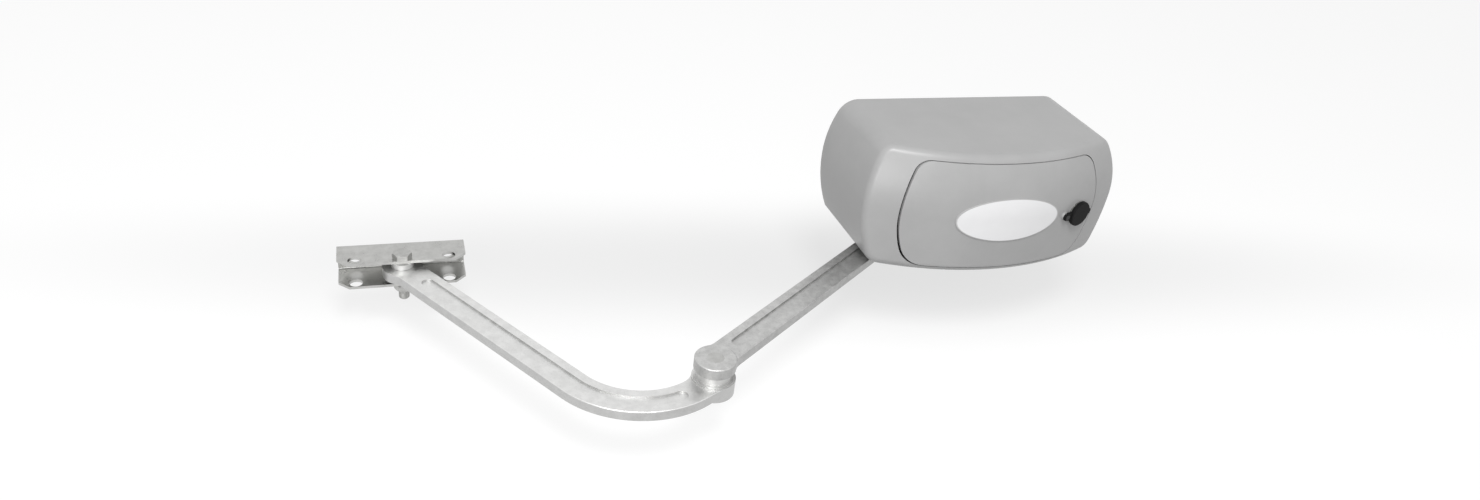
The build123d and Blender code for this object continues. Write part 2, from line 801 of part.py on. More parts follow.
with BuildPart() as gear_case:
    with BuildSketch(Plane.XY.offset(level(tray_top))):
        add(case_outline(case_wall))
    extrude(amount=case_rim_level - tray_top)
    for x in case_post_x:
        for height in case_post_levels:
            peg(x, level(height), plate_thickness, -case_back, case_post_radius)
    for x, y in lug_points:
        drum(x, y, lug_low, case_rim_level, lug_radius)
    with BuildSketch(Plane.XY.offset(level(tray_top + case_floor))):
        add(case_outline(0))
    extrude(amount=case_rim_level, mode=Mode.SUBTRACT)
    drum(output_x, output_y, hub_low, bearing_low + bearing_width, hub_radius)
    drum(shaft2_x, shaft2_y, tray_top, small_bearing_low + small_bearing_width, small_hub)
    sleeve_depth = (-case_front - release_sleeve, -case_front + case_wall + case_inside)
    peg(shaft2_x, release_z, sleeve_depth[0], sleeve_depth[1], release_shaft_radius + hub_wall)
    block(
        pedestal_x,
        (-case_back - 1, -worm_y + small_bearing_outer / 2 + case_inside),
        (worm_level - pedestal_half, worm_level + pedestal_half),
    )
    seat_end = case_right + case_wall
    bar(motor_seat_x - case_wall / 2, seat_end, worm_y, worm_z, motor_bearing_outer + case_wall)
    pad_x = (guide_x - guide_pad, guide_x + guide_pad)
    block(pad_x, (guide_depth - guide_pad, -case_front + 1), guide_levels)
    bearing_top = bearing_low + bearing_width
    drum(output_x, output_y, bearing_low, bearing_top, bearing_outer + seat, mode=Mode.SUBTRACT)
    drum(output_x, output_y, hub_low, bearing_low, output_radius + 1, mode=Mode.SUBTRACT)
    drum(output_x, output_y, hub_low, hub_low + seal_width, seal_outer + seat, mode=Mode.SUBTRACT)
    drum(
        shaft2_x,
        shaft2_y,
        small_bearing_low,
        small_bearing_low + small_bearing_width,
        small_bearing_outer + seat,
        mode=Mode.SUBTRACT,
    )
    drum(guide_x, -guide_depth, guide_levels[0], release_level + clutch_lift + 2, guide_radius)
    bush_seat = small_bearing_outer / 2 + seat
    motor_seat = motor_bearing_outer + seat
    lever_bore = release_shaft_radius + running
    bar(pedestal_x[0], pedestal_x[1], worm_y, worm_z, bush_seat, mode=Mode.SUBTRACT)
    bar(motor_seat_x - case_wall / 2, seat_end, worm_y, worm_z, motor_seat, mode=Mode.SUBTRACT)
    peg(shaft2_x, release_z, sleeve_depth[0], sleeve_depth[1], lever_bore, mode=Mode.SUBTRACT)
    for x in case_post_x:
        for height in case_post_levels:
            tapped_end = plate_thickness + post_screw_length - 1
            peg(x, level(height), plate_thickness, tapped_end, post_screw_radius + seat, mode=Mode.SUBTRACT)
    for x, y in lug_points:
        drum(x, y, lug_low + 1, case_rim_level, lid_screw_radius + seat, mode=Mode.SUBTRACT)
gear_case.part.label = "gear_case"
export_step(gear_case.part, "parts/gear_case.step")

lid_low = case_rim_level + gasket_thickness
lid_top = lid_low + lid_thickness
upper_bearing_low = lid_top - upper_bearing_width
small_upper_low = lid_top - small_bearing_width

with BuildPart() as gasket:
    with BuildSketch(Plane.XY.offset(level(case_rim_level))):
        add(case_outline(case_wall))
        with Locations(*lug_points):
            Circle(lug_radius)
        add(case_outline(0), mode=Mode.SUBTRACT)
        with Locations(*lug_points):
            Circle(lid_screw_radius + seat, mode=Mode.SUBTRACT)
    extrude(amount=gasket_thickness)
gasket.part.label = "case_gasket"
export_step(gasket.part, "parts/case_gasket.step")

with BuildPart() as gear_lid:
    with BuildSketch(Plane.XY.offset(level(lid_low))):
        add(case_outline(case_wall))
        with Locations(*lug_points):
            Circle(lug_radius)
    extrude(amount=lid_thickness)
    drum(output_x, output_y, upper_bearing_low - 2, lid_top, upper_hub)
    drum(shaft2_x, shaft2_y, small_upper_low - 2, lid_top, small_hub)
    drum(output_x, output_y, upper_bearing_low, lid_top, upper_bearing_outer + seat, mode=Mode.SUBTRACT)
    drum(output_x, output_y, upper_bearing_low - 2, lid_top, upper_bearing_outer - 3, mode=Mode.SUBTRACT)
    drum(shaft2_x, shaft2_y, small_upper_low, lid_top, small_bearing_outer + seat, mode=Mode.SUBTRACT)
    drum(shaft2_x, shaft2_y, small_upper_low - 2, lid_top, small_bearing_outer - 3, mode=Mode.SUBTRACT)
    for x, y in lug_points:
        drum(x, y, lid_low, lid_top, lid_screw_radius + seat, mode=Mode.SUBTRACT)
gear_lid.part.label = "gear_lid"
export_step(gear_lid.part, "parts/gear_lid.step")

with BuildPart() as lid_screws:
    for x, y in lug_points:
        drum(x, y, lug_low + 2, lid_top, lid_screw_radius)
        drum(x, y, lid_top, lid_top + lid_screw_head, lid_screw_head_radius)
lid_screws.part.label = "lid_screws"
export_step(lid_screws.part, "parts/lid_screws.step")


def bearing(bore, outer, width):
    """Ball bearing as one ring, with its races shown by a shallow recess in each face."""
    race = (outer - bore) / 4
    with BuildPart() as ring:
        Cylinder(outer, width, align=(Align.CENTER, Align.CENTER, Align.MIN))
        Cylinder(bore, width, align=(Align.CENTER, Align.CENTER, Align.MIN), mode=Mode.SUBTRACT)
        for face_z in (0, width - 1):
            with BuildSketch(Plane.XY.offset(face_z)):
                Circle(outer - race)
                Circle(bore + race, mode=Mode.SUBTRACT)
            extrude(amount=1, mode=Mode.SUBTRACT)
    return ring.part


with BuildPart() as output_bearings:
    with Locations((output_x, output_y, level(bearing_low))):
        add(bearing(output_radius + running, bearing_outer, bearing_width))
    with Locations((output_x, output_y, level(upper_bearing_low))):
        add(bearing(output_upper_radius + running, upper_bearing_outer, upper_bearing_width))
output_bearings.part.label = "output_bearings"
export_step(output_bearings.part, "parts/output_bearings.step")

with BuildPart() as shaft_seal:
    drum(output_x, output_y, hub_low, hub_low + seal_width, seal_outer)
    drum(output_x, output_y, hub_low, hub_low + seal_width, output_radius + running, mode=Mode.SUBTRACT)
shaft_seal.part.label = "shaft_seal"
export_step(shaft_seal.part, "parts/shaft_seal.step")

with BuildPart() as small_bearings:
    bearing_lows = (level(small_bearing_low), level(small_upper_low))
    with Locations(*[(shaft2_x, shaft2_y, low) for low in bearing_lows]):
        add(bearing(shaft2_radius + running, small_bearing_outer, small_bearing_width))
small_bearings.part.label = "intermediate_bearings"
export_step(small_bearings.part, "parts/intermediate_bearings.step")

# Output shaft: square end for the arm, gear seat with a key, seat of the limit cams
gear_top = gear_low + gear_width
cam_low = lid_top + cam_above_lid
cam_top = cam_low + cam_pitch + cam_width
arm_low = -arm_gap - arm_thickness
boss_low = arm_low - (boss_height - arm_thickness) / 2
boss_top = boss_low + boss_height
key_size = (8.0, 4.0)
with BuildPart() as output_shaft:
    with BuildSketch(Plane.XY.offset(level(boss_low))):
        with Locations((output_x, output_y)):
            Rectangle(square_drive, square_drive, rotation=arm_angle)
    extrude(amount=hub_low - boss_low)
    drum(output_x, output_y, boss_top + face_gap, gear_top, output_radius)
    drum(output_x, output_y, bearing_low + bearing_width, gear_low, output_radius + 2)
    drum(output_x, output_y, gear_top, lid_top, output_upper_radius)
    drum(output_x, output_y, lid_top, cam_top + cam_above_lid, cam_seat_radius)
    with Locations((output_x - output_radius, output_y, level(gear_low))):
        Box(
            key_size[1] * 2,
            key_size[0],
            gear_width,
            align=(Align.CENTER, Align.CENTER, Align.MIN),
            mode=Mode.SUBTRACT,
        )
    drum(output_x, output_y, boss_low, boss_low + arm_screw_bore, bolt_radius, mode=Mode.SUBTRACT)
output_shaft.part.label = "output_shaft"
export_step(output_shaft.part, "parts/output_shaft.step")


def involute(angle):
    """Involute function of a pressure angle."""
    return tan(angle) - angle


def toothed(module, teeth, backlash, turn):
    """Plan of a spur gear with involute flanks, thinned by half its backlash."""
    pitch = module * teeth / 2
    base = pitch * cos(radians(pressure_angle))
    root = pitch - 1.25 * module
    tip = pitch + module
    start = max(base, root)
    half_tooth = (pi * module / 2 - backlash / 2) / 2 / pitch + involute(radians(pressure_angle))
    upper = []
    for step in range(flank_steps + 1):
        r = start + (tip - start) * step / flank_steps
        half = half_tooth - involute(acos(base / r))
        upper.append((r * cos(half), r * sin(half)))
    foot = (root * 0.96 * cos(half_tooth), root * 0.96 * sin(half_tooth))
    flank = [foot] + upper
    points = flank + [(x, -y) for x, y in reversed(flank)]
    with BuildSketch() as plan:
        Circle(root)
        with PolarLocations(0, teeth, start_angle=turn):
            Polygon(*points, align=None)
    return plan.sketch


with BuildPart() as output_gear:
    with BuildSketch(Plane.XY.offset(level(gear_low))):
        with Locations((output_x, output_y)):
            add(toothed(gear_module, gear_teeth, gear_backlash, 0))
            Circle(output_radius + seat, mode=Mode.SUBTRACT)
        with Locations((output_x - output_radius, output_y)):
            Rectangle(key_size[1] * 2, key_size[0], mode=Mode.SUBTRACT)
    extrude(amount=gear_width)
output_gear.part.label = "output_gear"
export_step(output_gear.part, "parts/output_gear.step")

with BuildPart() as gear_key:
    with Locations((output_x - output_radius, output_y, level(gear_low))):
        Box(
            key_size[1] * 2 - seat * 2,
            key_size[0] - seat * 2,
            gear_width,
            align=(Align.CENTER, Align.CENTER, Align.MIN),
        )
gear_key.part.label = "gear_key"
export_step(gear_key.part, "parts/gear_key.step")

# Intermediate shaft with its pinion, and a hexagon for the clutch ring
wheel_low = worm_level - worm_wheel_width / 2
wheel_top = worm_level + worm_wheel_width / 2
wheel_hub_low = wheel_low - 2
wheel_hub_top = wheel_top + 2
ring_low = wheel_hub_top + face_gap
groove_low = ring_low + clutch_flange_low
groove_high = groove_low + clutch_groove
ring_top = groove_high + clutch_flange_high
with BuildPart() as intermediate_shaft:
    drum(shaft2_x, shaft2_y, small_bearing_low + seat, wheel_hub_top, shaft2_radius)
    with BuildSketch(Plane.XY.offset(level(wheel_hub_top))):
        with Locations((shaft2_x, shaft2_y)):
            RegularPolygon(shaft2_radius, 6)
    extrude(amount=small_upper_low - 1 - wheel_hub_top)
    drum(shaft2_x, shaft2_y, small_upper_low - 1, lid_top, shaft2_radius)
    drum(shaft2_x, shaft2_y, gear_top + 1, wheel_hub_low, shaft2_radius + 2)
    with BuildSketch(Plane.XY.offset(level(gear_low - 1))):
        with Locations((shaft2_x, shaft2_y)):
            add(toothed(gear_module, pinion_teeth, gear_backlash, 180 / pinion_teeth))
    extrude(amount=gear_width + 2)
intermediate_shaft.part.label = "intermediate_shaft"
export_step(intermediate_shaft.part, "parts/intermediate_shaft.step")

with BuildPart() as worm_wheel:
    with BuildSketch(Plane.XY.offset(level(wheel_low))):
        with Locations((shaft2_x, shaft2_y)):
            add(toothed(worm_module, worm_wheel_teeth, worm_backlash, 0))
    extrude(amount=worm_wheel_width)
    drum(shaft2_x, shaft2_y, wheel_hub_low, wheel_hub_top, dog_circle + dog_radius + 2)
    drum(shaft2_x, shaft2_y, wheel_hub_low, wheel_hub_top, shaft2_radius + seat, mode=Mode.SUBTRACT)
    with Locations((shaft2_x, shaft2_y, level(wheel_hub_top))):
        with PolarLocations(dog_circle, 3):
            Cylinder(
                dog_radius + dog_play,
                dog_length + face_gap,
                align=(Align.CENTER, Align.CENTER, Align.MAX),
                mode=Mode.SUBTRACT,
            )
worm_wheel.part.label = "worm_wheel"
export_step(worm_wheel.part, "parts/worm_wheel.step")

with BuildPart() as clutch_ring:
    drum(shaft2_x, shaft2_y, ring_low, groove_low, clutch_radius)
    drum(shaft2_x, shaft2_y, groove_low, groove_high, clutch_neck_radius)
    drum(shaft2_x, shaft2_y, groove_high, ring_top, clutch_radius)
    with Locations((shaft2_x, shaft2_y, level(ring_low))):
        with PolarLocations(dog_circle, 3):
            Cylinder(dog_radius, dog_length, align=(Align.CENTER, Align.CENTER, Align.MAX))
    with BuildSketch(Plane.XY.offset(level(ring_low))):
        with Locations((shaft2_x, shaft2_y)):
            RegularPolygon(shaft2_radius + running, 6)
    extrude(amount=ring_top - ring_low, mode=Mode.SUBTRACT)
clutch_ring.part.label = "clutch_ring"
export_step(clutch_ring.part, "parts/clutch_ring.step")

# Release: the lever turns an eccentric pin that lifts the fork and the clutch ring
pin_throw = clutch_lift / 2 / sin(pi / 4)
pin_x = shaft2_x + pin_throw * cos(pi / 4)
pin_level = release_level - pin_throw * sin(pi / 4)
fork_low = groove_low + (clutch_groove - fork_plate) / 2
fork_high = fork_low + fork_plate
tab_top = pin_level + release_pin_radius + fork_tab
tab_end = release_tab_depth + fork_tab
slot_half = release_pin_radius + release_pin_play
with BuildPart() as release_fork:
    with BuildSketch(Plane.XY.offset(level(fork_low))):
        with Locations((shaft2_x, (-tab_end + shaft2_y + clutch_neck_radius / 2) / 2)):
            Rectangle(fork_half_width * 2, tab_end + shaft2_y + clutch_neck_radius / 2)
        with Locations((guide_x, -guide_depth)):
            Circle(guide_radius + 2)
        with Locations((shaft2_x, shaft2_y)):
            Circle(clutch_neck_radius + face_gap, mode=Mode.SUBTRACT)
        with Locations((shaft2_x, shaft2_y + clutch_neck_radius)):
            Rectangle((clutch_neck_radius + face_gap) * 2, clutch_neck_radius * 2, mode=Mode.SUBTRACT)
    extrude(amount=fork_plate)
    block((shaft2_x - 10, shaft2_x + 12), (release_tab_depth, tab_end), (fork_low, tab_top))
    drum(guide_x, -guide_depth, fork_low, fork_high, guide_radius + running, mode=Mode.SUBTRACT)
    block(
        (pin_x - slot_half - 1, pin_x + slot_half + 2),
        (release_tab_depth, tab_end),
        (pin_level - slot_half, pin_level + slot_half),
        mode=Mode.SUBTRACT,
    )
release_fork.part.label = "release_fork"
export_step(release_fork.part, "parts/release_fork.step")

lever_depth = -case_front + case_wall + lug_offset + lug_radius + 1
with BuildPart() as release_lever:
    collar_end = -case_front - release_sleeve - face_gap
    lever_end = lever_depth + lever_thickness
    tip_x = shaft2_x - lever_length
    peg(shaft2_x, release_z, tab_end + 1, collar_end, release_shaft_radius + 1)
    peg(shaft2_x, release_z, tab_end + 1, lever_end, release_shaft_radius)
    peg(pin_x, level(pin_level), release_tab_depth, tab_end + 2, release_pin_radius)
    peg(shaft2_x, release_z, lever_depth, lever_end, lever_width / 2 + 2)
    peg(tip_x, release_z, lever_depth, lever_end, lever_width / 2)
    block(
        (tip_x, shaft2_x),
        (lever_depth, lever_end),
        (release_level - lever_width / 2, release_level + lever_width / 2),
    )
release_lever.part.label = "release_lever"
export_step(release_lever.part, "parts/release_lever.step")

# Motor
flange_x = case_right + case_wall
can_x = flange_x + motor_flange
cap_x = can_x + motor_length
magnet_outer = motor_radius - motor_wall
rear_bearing_x = cap_x + motor_cap_play
with BuildPart() as motor_front:
    bar(flange_x, can_x, worm_y, worm_z, motor_radius + 2)
    bar(case_right + 2, flange_x, worm_y, worm_z, motor_bearing_outer - seat)
    bar(case_right + 2, can_x, worm_y, worm_z, worm_shaft_radius + 2, mode=Mode.SUBTRACT)
motor_front.part.label = "motor_flange"
export_step(motor_front.part, "parts/motor_flange.step")

with BuildPart() as motor_can:
    bar(can_x, cap_x, worm_y, worm_z, motor_radius)
    bar(can_x, cap_x, worm_y, worm_z, magnet_outer, mode=Mode.SUBTRACT)
motor_can.part.label = "motor_can"
export_step(motor_can.part, "parts/motor_can.step")

with BuildPart() as motor_end:
    bar(cap_x, cap_x + motor_cap, worm_y, worm_z, motor_radius)
    pocket_end = cap_x + motor_cap - motor_cap_play
    bar(cap_x, pocket_end, worm_y, worm_z, motor_bearing_outer + seat, mode=Mode.SUBTRACT)
motor_end.part.label = "motor_end_cap"
export_step(motor_end.part, "parts/motor_end_cap.step")

armature_x = can_x + armature_inset
magnet_low = armature_x - magnet_overhang
magnet_high = armature_x + armature_length + magnet_overhang
magnet_inner = magnet_outer - magnet_thickness
with BuildPart() as magnets:
    bar(magnet_low, magnet_high, worm_y, worm_z, magnet_outer)
    bar(magnet_low, magnet_high, worm_y, worm_z, magnet_inner, mode=Mode.SUBTRACT)
    magnet_gap = magnet_outer * sin(radians(magnet_gap_angle))
    with Locations((armature_x + armature_length / 2, worm_y, worm_z)):
        Box(armature_length * 2, magnet_gap, magnet_outer * 3, mode=Mode.SUBTRACT)
magnets.part.label = "motor_magnets"
export_step(magnets.part, "parts/motor_magnets.step")

with BuildPart() as motor_bearings:
    with Locations(
        Location((motor_seat_x, worm_y, worm_z), (0, 90, 0)),
        Location((rear_bearing_x, worm_y, worm_z), (0, 90, 0)),
    ):
        add(bearing(worm_shaft_radius + running, motor_bearing_outer, motor_bearing_width))
motor_bearings.part.label = "motor_bearings"
export_step(motor_bearings.part, "parts/motor_bearings.step")

with BuildPart() as worm_bush:
    bar(pedestal_x[0], pedestal_x[1], worm_y, worm_z, small_bearing_outer / 2)
    bar(pedestal_x[0], pedestal_x[1], worm_y, worm_z, worm_shaft_radius + running, mode=Mode.SUBTRACT)
worm_bush.part.label = "worm_bush"
export_step(worm_bush.part, "parts/worm_bush.step")

# Rotor: shaft with its worm, armature and commutator
worm_pitch = pi * worm_module
worm_root = worm_pitch_radius - 1.25 * worm_module
worm_tip = worm_pitch_radius + worm_module
worm_length = worm_pitch * worm_turns
worm_start = shaft2_x - worm_length / 2 + worm_pitch / 4
thread_half = worm_pitch / 4 - worm_backlash / 4
thread_slope = tan(radians(pressure_angle))
with BuildPart() as worm_thread:
    with BuildLine():
        Helix(pitch=worm_pitch, height=worm_length, radius=worm_root)
    with BuildSketch(Plane(origin=(worm_root, 0, 0), x_dir=(1, 0, 0), z_dir=(0, -1, 0))):
        with BuildLine():
            depth_in = -thread_sunk
            depth_out = worm_tip - worm_root
            low_half = thread_half + (worm_pitch_radius - worm_root + thread_sunk) * thread_slope
            high_half = thread_half - (worm_tip - worm_pitch_radius) * thread_slope
            Polyline(
                (depth_in, -low_half),
                (depth_out, -high_half),
                (depth_out, high_half),
                (depth_in, low_half),
                close=True,
            )
        make_face()
    sweep(is_frenet=True)

with BuildPart() as rotor_shaft:
    bar(pedestal_x[0] - 2, cap_x + motor_cap - 2, worm_y, worm_z, worm_shaft_radius)
    bar(worm_start - 2, worm_start + worm_length + 2, worm_y, worm_z, worm_root)
    with Locations(Location((worm_start, worm_y, worm_z), (0, 90, 0))):
        add(worm_thread.part)
rotor_shaft.part.label = "rotor_shaft"
export_step(rotor_shaft.part, "parts/rotor_shaft.step")

commutator_x = armature_x + armature_length + commutator_gap
commutator_end = commutator_x + commutator_length
brush_x = (commutator_end + commutator_x - brush_ring_width) / 2
with BuildPart() as armature:
    bar(armature_x, armature_x + armature_length, worm_y, worm_z, armature_radius)
    bar(armature_x, commutator_end, worm_y, worm_z, commutator_radius)
    bar(armature_x, commutator_end, worm_y, worm_z, worm_shaft_radius + seat, mode=Mode.SUBTRACT)
armature.part.label = "armature"
export_step(armature.part, "parts/armature.step")

with BuildPart() as brush_ring:
    brush_end = brush_x + brush_ring_width
    bar(brush_x, brush_end, worm_y, worm_z, magnet_outer)
    bar(brush_x, brush_end, worm_y, worm_z, commutator_radius + brush_ring_gap, mode=Mode.SUBTRACT)
    for side in (-1, 1):
        brush_y = worm_y + side * (commutator_radius + brush_size[1] / 2)
        with Locations((brush_x + brush_ring_width / 2, brush_y, worm_z)):
            Box(*brush_size)
    bar(commutator_x, commutator_end, worm_y, worm_z, commutator_radius + running, mode=Mode.SUBTRACT)
brush_ring.part.label = "brush_holder"
export_step(brush_ring.part, "parts/brush_holder.step")

# Transformer on the wall plate
core_x = (transformer_x[0] + core_side, transformer_x[1] - core_side)
core_depth = (plate_thickness + core_foot, plate_thickness + core_foot + transformer_depth)
core_mid = (transformer_x[0] + transformer_x[1]) / 2
window_levels = (transformer_levels[0] + transformer_yoke, transformer_levels[1] - transformer_yoke)
with BuildPart() as transformer_core:
    block(core_x, core_depth, transformer_levels)
    for side in (-1, 1):
        window = sorted((core_mid + side * transformer_leg, core_mid + side * window_edge))
        block(window, core_depth, window_levels, mode=Mode.SUBTRACT)
    block((core_x[0] - core_ear, core_x[1] + core_ear), (plate_thickness, core_depth[0]), transformer_levels)
transformer_core.part.label = "transformer_core"
export_step(transformer_core.part, "parts/transformer_core.step")

with BuildPart() as transformer_coil:
    coil_levels = (window_levels[0] + coil_play, window_levels[1] - coil_play)
    coil_half = window_edge - coil_play
    leg_half = transformer_leg + seat
    coil_depth = (core_depth[0] - coil_back, core_depth[1] + coil_front)
    block((core_mid - coil_half, core_mid + coil_half), coil_depth, coil_levels)
    block((core_mid - leg_half, core_mid + leg_half), core_depth, coil_levels, mode=Mode.SUBTRACT)
    block(transformer_x, (plate_thickness, core_depth[0]), transformer_levels, mode=Mode.SUBTRACT)
transformer_coil.part.label = "transformer_coil"
export_step(transformer_coil.part, "parts/transformer_coil.step")

# Board carrier on four posts, and the control board
carrier_front = board_depth + carrier_plate
board_back = carrier_front + carrier_post
board_front = board_back + board_plate
with BuildPart() as board_carrier:
    block(board_x, (board_depth, carrier_front), board_levels)
    for x in (board_x[0] + 9, board_x[1] - 9):
        for height in (board_levels[0] + 9, board_levels[1] - 9):
            peg(x, level(height), carrier_front, board_back, board_post_radius - 1)
board_carrier.part.label = "board_carrier"
export_step(board_carrier.part, "parts/board_carrier.step")

with BuildPart() as control_board:
    block(
        (board_x[0] + board_edge, board_x[1] - board_edge),
        (board_back, board_front),
        (board_levels[0] + board_edge, board_levels[1] - board_edge),
    )
control_board.part.label = "control_board"
export_step(control_board.part, "parts/control_board.step")

with BuildPart() as board_parts:
    terminal_low = board_levels[0] + board_edge * 2
    relay_top = board_levels[1] - terminal_inset + 2
    relay_x = board_x[0] + terminal_inset
    block(
        (board_x[0] + terminal_inset, board_x[1] - terminal_inset),
        (board_front, board_front + terminal_block),
        (terminal_low, terminal_low + terminal_block),
    )
    for x in (relay_x, relay_x + relay_pitch):
        relay_levels = (relay_top - relay_height, relay_top)
        block((x, x + relay_width), (board_front, board_front + relay_depth), relay_levels)
board_parts.part.label = "terminals_and_relays"
export_step(board_parts.part, "parts/terminals_and_relays.step")

# Limit cams on the shaft, and the two switches beside them
with BuildPart() as limit_cams:
    for low in (cam_low, cam_low + cam_pitch):
        drum(output_x, output_y, low, low + cam_width, cam_radius)
        lobe_angle = cam_lobe_angle if low == cam_low else -cam_lobe_angle
        with BuildSketch(Plane.XY.offset(level(low))):
            with Locations((output_x, output_y)):
                with PolarLocations(cam_radius, 1, start_angle=lobe_angle):
                    Circle(cam_lobe_radius)
        extrude(amount=cam_width)
    drum(output_x, output_y, cam_low, cam_top, cam_hub_radius)
    drum(output_x, output_y, cam_low, cam_top, cam_seat_radius + seat, mode=Mode.SUBTRACT)
limit_cams.part.label = "limit_cams"
export_step(limit_cams.part, "parts/limit_cams.step")

switch_x = (output_x + switch_offset, output_x + switch_offset + switch_length)
switch_depth = -output_y - switch_thickness / 2
switch_front = switch_depth + switch_thickness
with BuildPart() as limit_switches:
    for low in (cam_low, cam_low + cam_pitch):
        block(switch_x, (switch_depth, switch_front), (low, low + cam_width))
        block(
            (switch_x[0] - plunger_length, switch_x[0]),
            (-output_y - plunger_width / 2, -output_y + plunger_width / 2),
            (low + (cam_width - plunger_width) / 2, low + (cam_width + plunger_width) / 2),
        )
limit_switches.part.label = "limit_switches"
export_step(limit_switches.part, "parts/limit_switches.step")

with BuildPart() as switch_bracket:
    block(switch_x, (switch_front, switch_front + switch_sheet), (lid_top, cam_top))
    block(switch_x, (switch_front, switch_front + switch_foot), (lid_top, lid_top + switch_sheet))
switch_bracket.part.label = "switch_bracket"
export_step(switch_bracket.part, "parts/switch_bracket.step")

# Straight arm: cast bar with a boss at each end and a groove along its top
elbow_x = output_x + arm_length * cos(radians(arm_angle))
elbow_y = output_y + arm_length * sin(radians(arm_angle))
arm_plane = Plane(
    origin=(elbow_x, elbow_y, level(-arm_gap)),
    x_dir=(-cos(radians(arm_angle)), -sin(radians(arm_angle)), 0),
    z_dir=(0, 0, 1),
)
boss_rise = (boss_height - arm_thickness) / 2
with BuildPart(arm_plane) as straight_arm:
    with BuildSketch(arm_plane) as plan:
        with Locations((arm_length / 2, 0)):
            Rectangle(arm_length, arm_width)
        with Locations((0, 0), (arm_length, 0)):
            Circle(boss_radius)
        necks = plan.vertices().filter_by(lambda v: abs(abs(v.Y) - arm_width / 2) < 0.01)
        fillet(necks, arm_neck_radius)
    extrude(amount=-arm_thickness)
    rims = straight_arm.faces().filter_by(Axis.Z).edges()
    fillet(rims, arm_edge)
    with Locations((0, 0, boss_rise), (arm_length, 0, boss_rise)):
        Cylinder(boss_radius, boss_height, align=(Align.CENTER, Align.CENTER, Align.MAX))
    bosses = straight_arm.faces().filter_by(Axis.Z).group_by(Axis.Z)
    fillet((bosses[0] + bosses[-1]).edges(), arm_edge)
    with BuildSketch(arm_plane):
        with Locations((arm_length / 2, 0)):
            SlotOverall(arm_length - groove_start * 2, groove_width)
    extrude(amount=-groove_depth, mode=Mode.SUBTRACT)
    with Locations((0, 0, 0)):
        Cylinder(elbow_pin_radius + seat, boss_height * 3, mode=Mode.SUBTRACT)
    with Locations((arm_length, 0, 0)):
        Box(square_drive + seat * 2, square_drive + seat * 2, boss_height * 3, mode=Mode.SUBTRACT)
straight_arm.part.label = "straight_arm"
export_step(straight_arm.part, "parts/straight_arm.step")

washer_low = boss_low - arm_washer_plate
with BuildPart() as arm_washer:
    drum(output_x, output_y, washer_low, boss_low, arm_washer_radius)
    drum(output_x, output_y, washer_low, boss_low, bolt_radius + seat, mode=Mode.SUBTRACT)
arm_washer.part.label = "arm_washer"
export_step(arm_washer.part, "parts/arm_washer.step")

with BuildPart() as arm_screw:
    drum(output_x, output_y, washer_low, boss_low + arm_screw_length, bolt_radius - seat)
    add(hexagon(output_x, output_y, washer_low - hex_head, washer_low))
arm_screw.part.label = "arm_screw"
export_step(arm_screw.part, "parts/arm_screw.step")

# Curved arm: short lead, wide bend and long straight, as wide as the other arm
curved_top = -arm_gap - arm_spacing
curved_low = curved_top - arm_thickness
elbow_ring_top = curved_top + elbow_ring_height
elbow_boss_low = curved_low - elbow_boss_drop
with BuildLine() as curved_path:
    lead = PolarLine((elbow_x, elbow_y), curved_lead, angle=curved_heading)
    bend = JernArc(lead @ 1, lead % 1, curved_bend_radius, -curved_bend_angle)
    straight = PolarLine(bend @ 1, curved_straight, angle=curved_heading - curved_bend_angle)
bolt_x = (straight @ 1).X
bolt_y = (straight @ 1).Y
groove_share = (curved_groove_start - curved_lead + groove_width / 2) / bend.length
with BuildPart() as curved_arm:
    with BuildSketch(Plane.XY.offset(level(curved_low))) as plan:
        trace(curved_path.line, arm_width)
        with Locations((elbow_x, elbow_y)):
            Circle(elbow_boss_radius)
        with Locations((bolt_x, bolt_y)):
            Circle(boss_radius)
        ends = ((Vector(elbow_x, elbow_y), elbow_boss_radius), (Vector(bolt_x, bolt_y), boss_radius))
        necks = [
            v
            for v in plan.vertices()
            if min(abs((Vector(v.X, v.Y) - centre).length - radius) for centre, radius in ends) < 0.01
        ]
        fillet(necks, arm_neck_radius)
    extrude(amount=arm_thickness)
    rims = curved_arm.faces().filter_by(Axis.Z).edges()
    fillet(rims, arm_edge)
    drum(elbow_x, elbow_y, elbow_boss_low, curved_top + elbow_ring_height / 2, elbow_boss_radius)
    drum(elbow_x, elbow_y, elbow_boss_low, elbow_ring_top, elbow_boss_radius - elbow_ring_step)
    drum(bolt_x, bolt_y, curved_low, curved_top, boss_radius)
    with BuildSketch(Plane.XY.offset(level(curved_top))):
        with BuildLine() as groove_path:
            groove_bend = JernArc(
                bend @ groove_share,
                bend % groove_share,
                curved_bend_radius,
                -curved_bend_angle * (1 - groove_share),
            )
            groove_end = curved_straight - curved_groove_start - groove_width / 2
            PolarLine(groove_bend @ 1, groove_end, angle=curved_heading - curved_bend_angle)
        trace(groove_path.line, groove_width)
        with Locations(groove_path.line @ 0, groove_path.line @ 1):
            Circle(groove_width / 2)
    extrude(amount=-groove_depth, mode=Mode.SUBTRACT)
    bush_bore = elbow_pin_radius + bush_wall + seat
    drum(elbow_x, elbow_y, elbow_boss_low, elbow_ring_top, bush_bore, mode=Mode.SUBTRACT)
    drum(bolt_x, bolt_y, curved_low, curved_top, bolt_radius + bush_wall + seat, mode=Mode.SUBTRACT)
curved_arm.part.label = "curved_arm"
export_step(curved_arm.part, "parts/curved_arm.step")

with BuildPart() as elbow_bush:
    drum(elbow_x, elbow_y, elbow_boss_low, elbow_ring_top, elbow_pin_radius + bush_wall)
    drum(elbow_x, elbow_y, elbow_ring_top, boss_low - face_gap, elbow_bush_radius)
    drum(elbow_x, elbow_y, elbow_boss_low, boss_low, elbow_pin_radius + running, mode=Mode.SUBTRACT)
elbow_bush.part.label = "elbow_bush"
export_step(elbow_bush.part, "parts/elbow_bush.step")

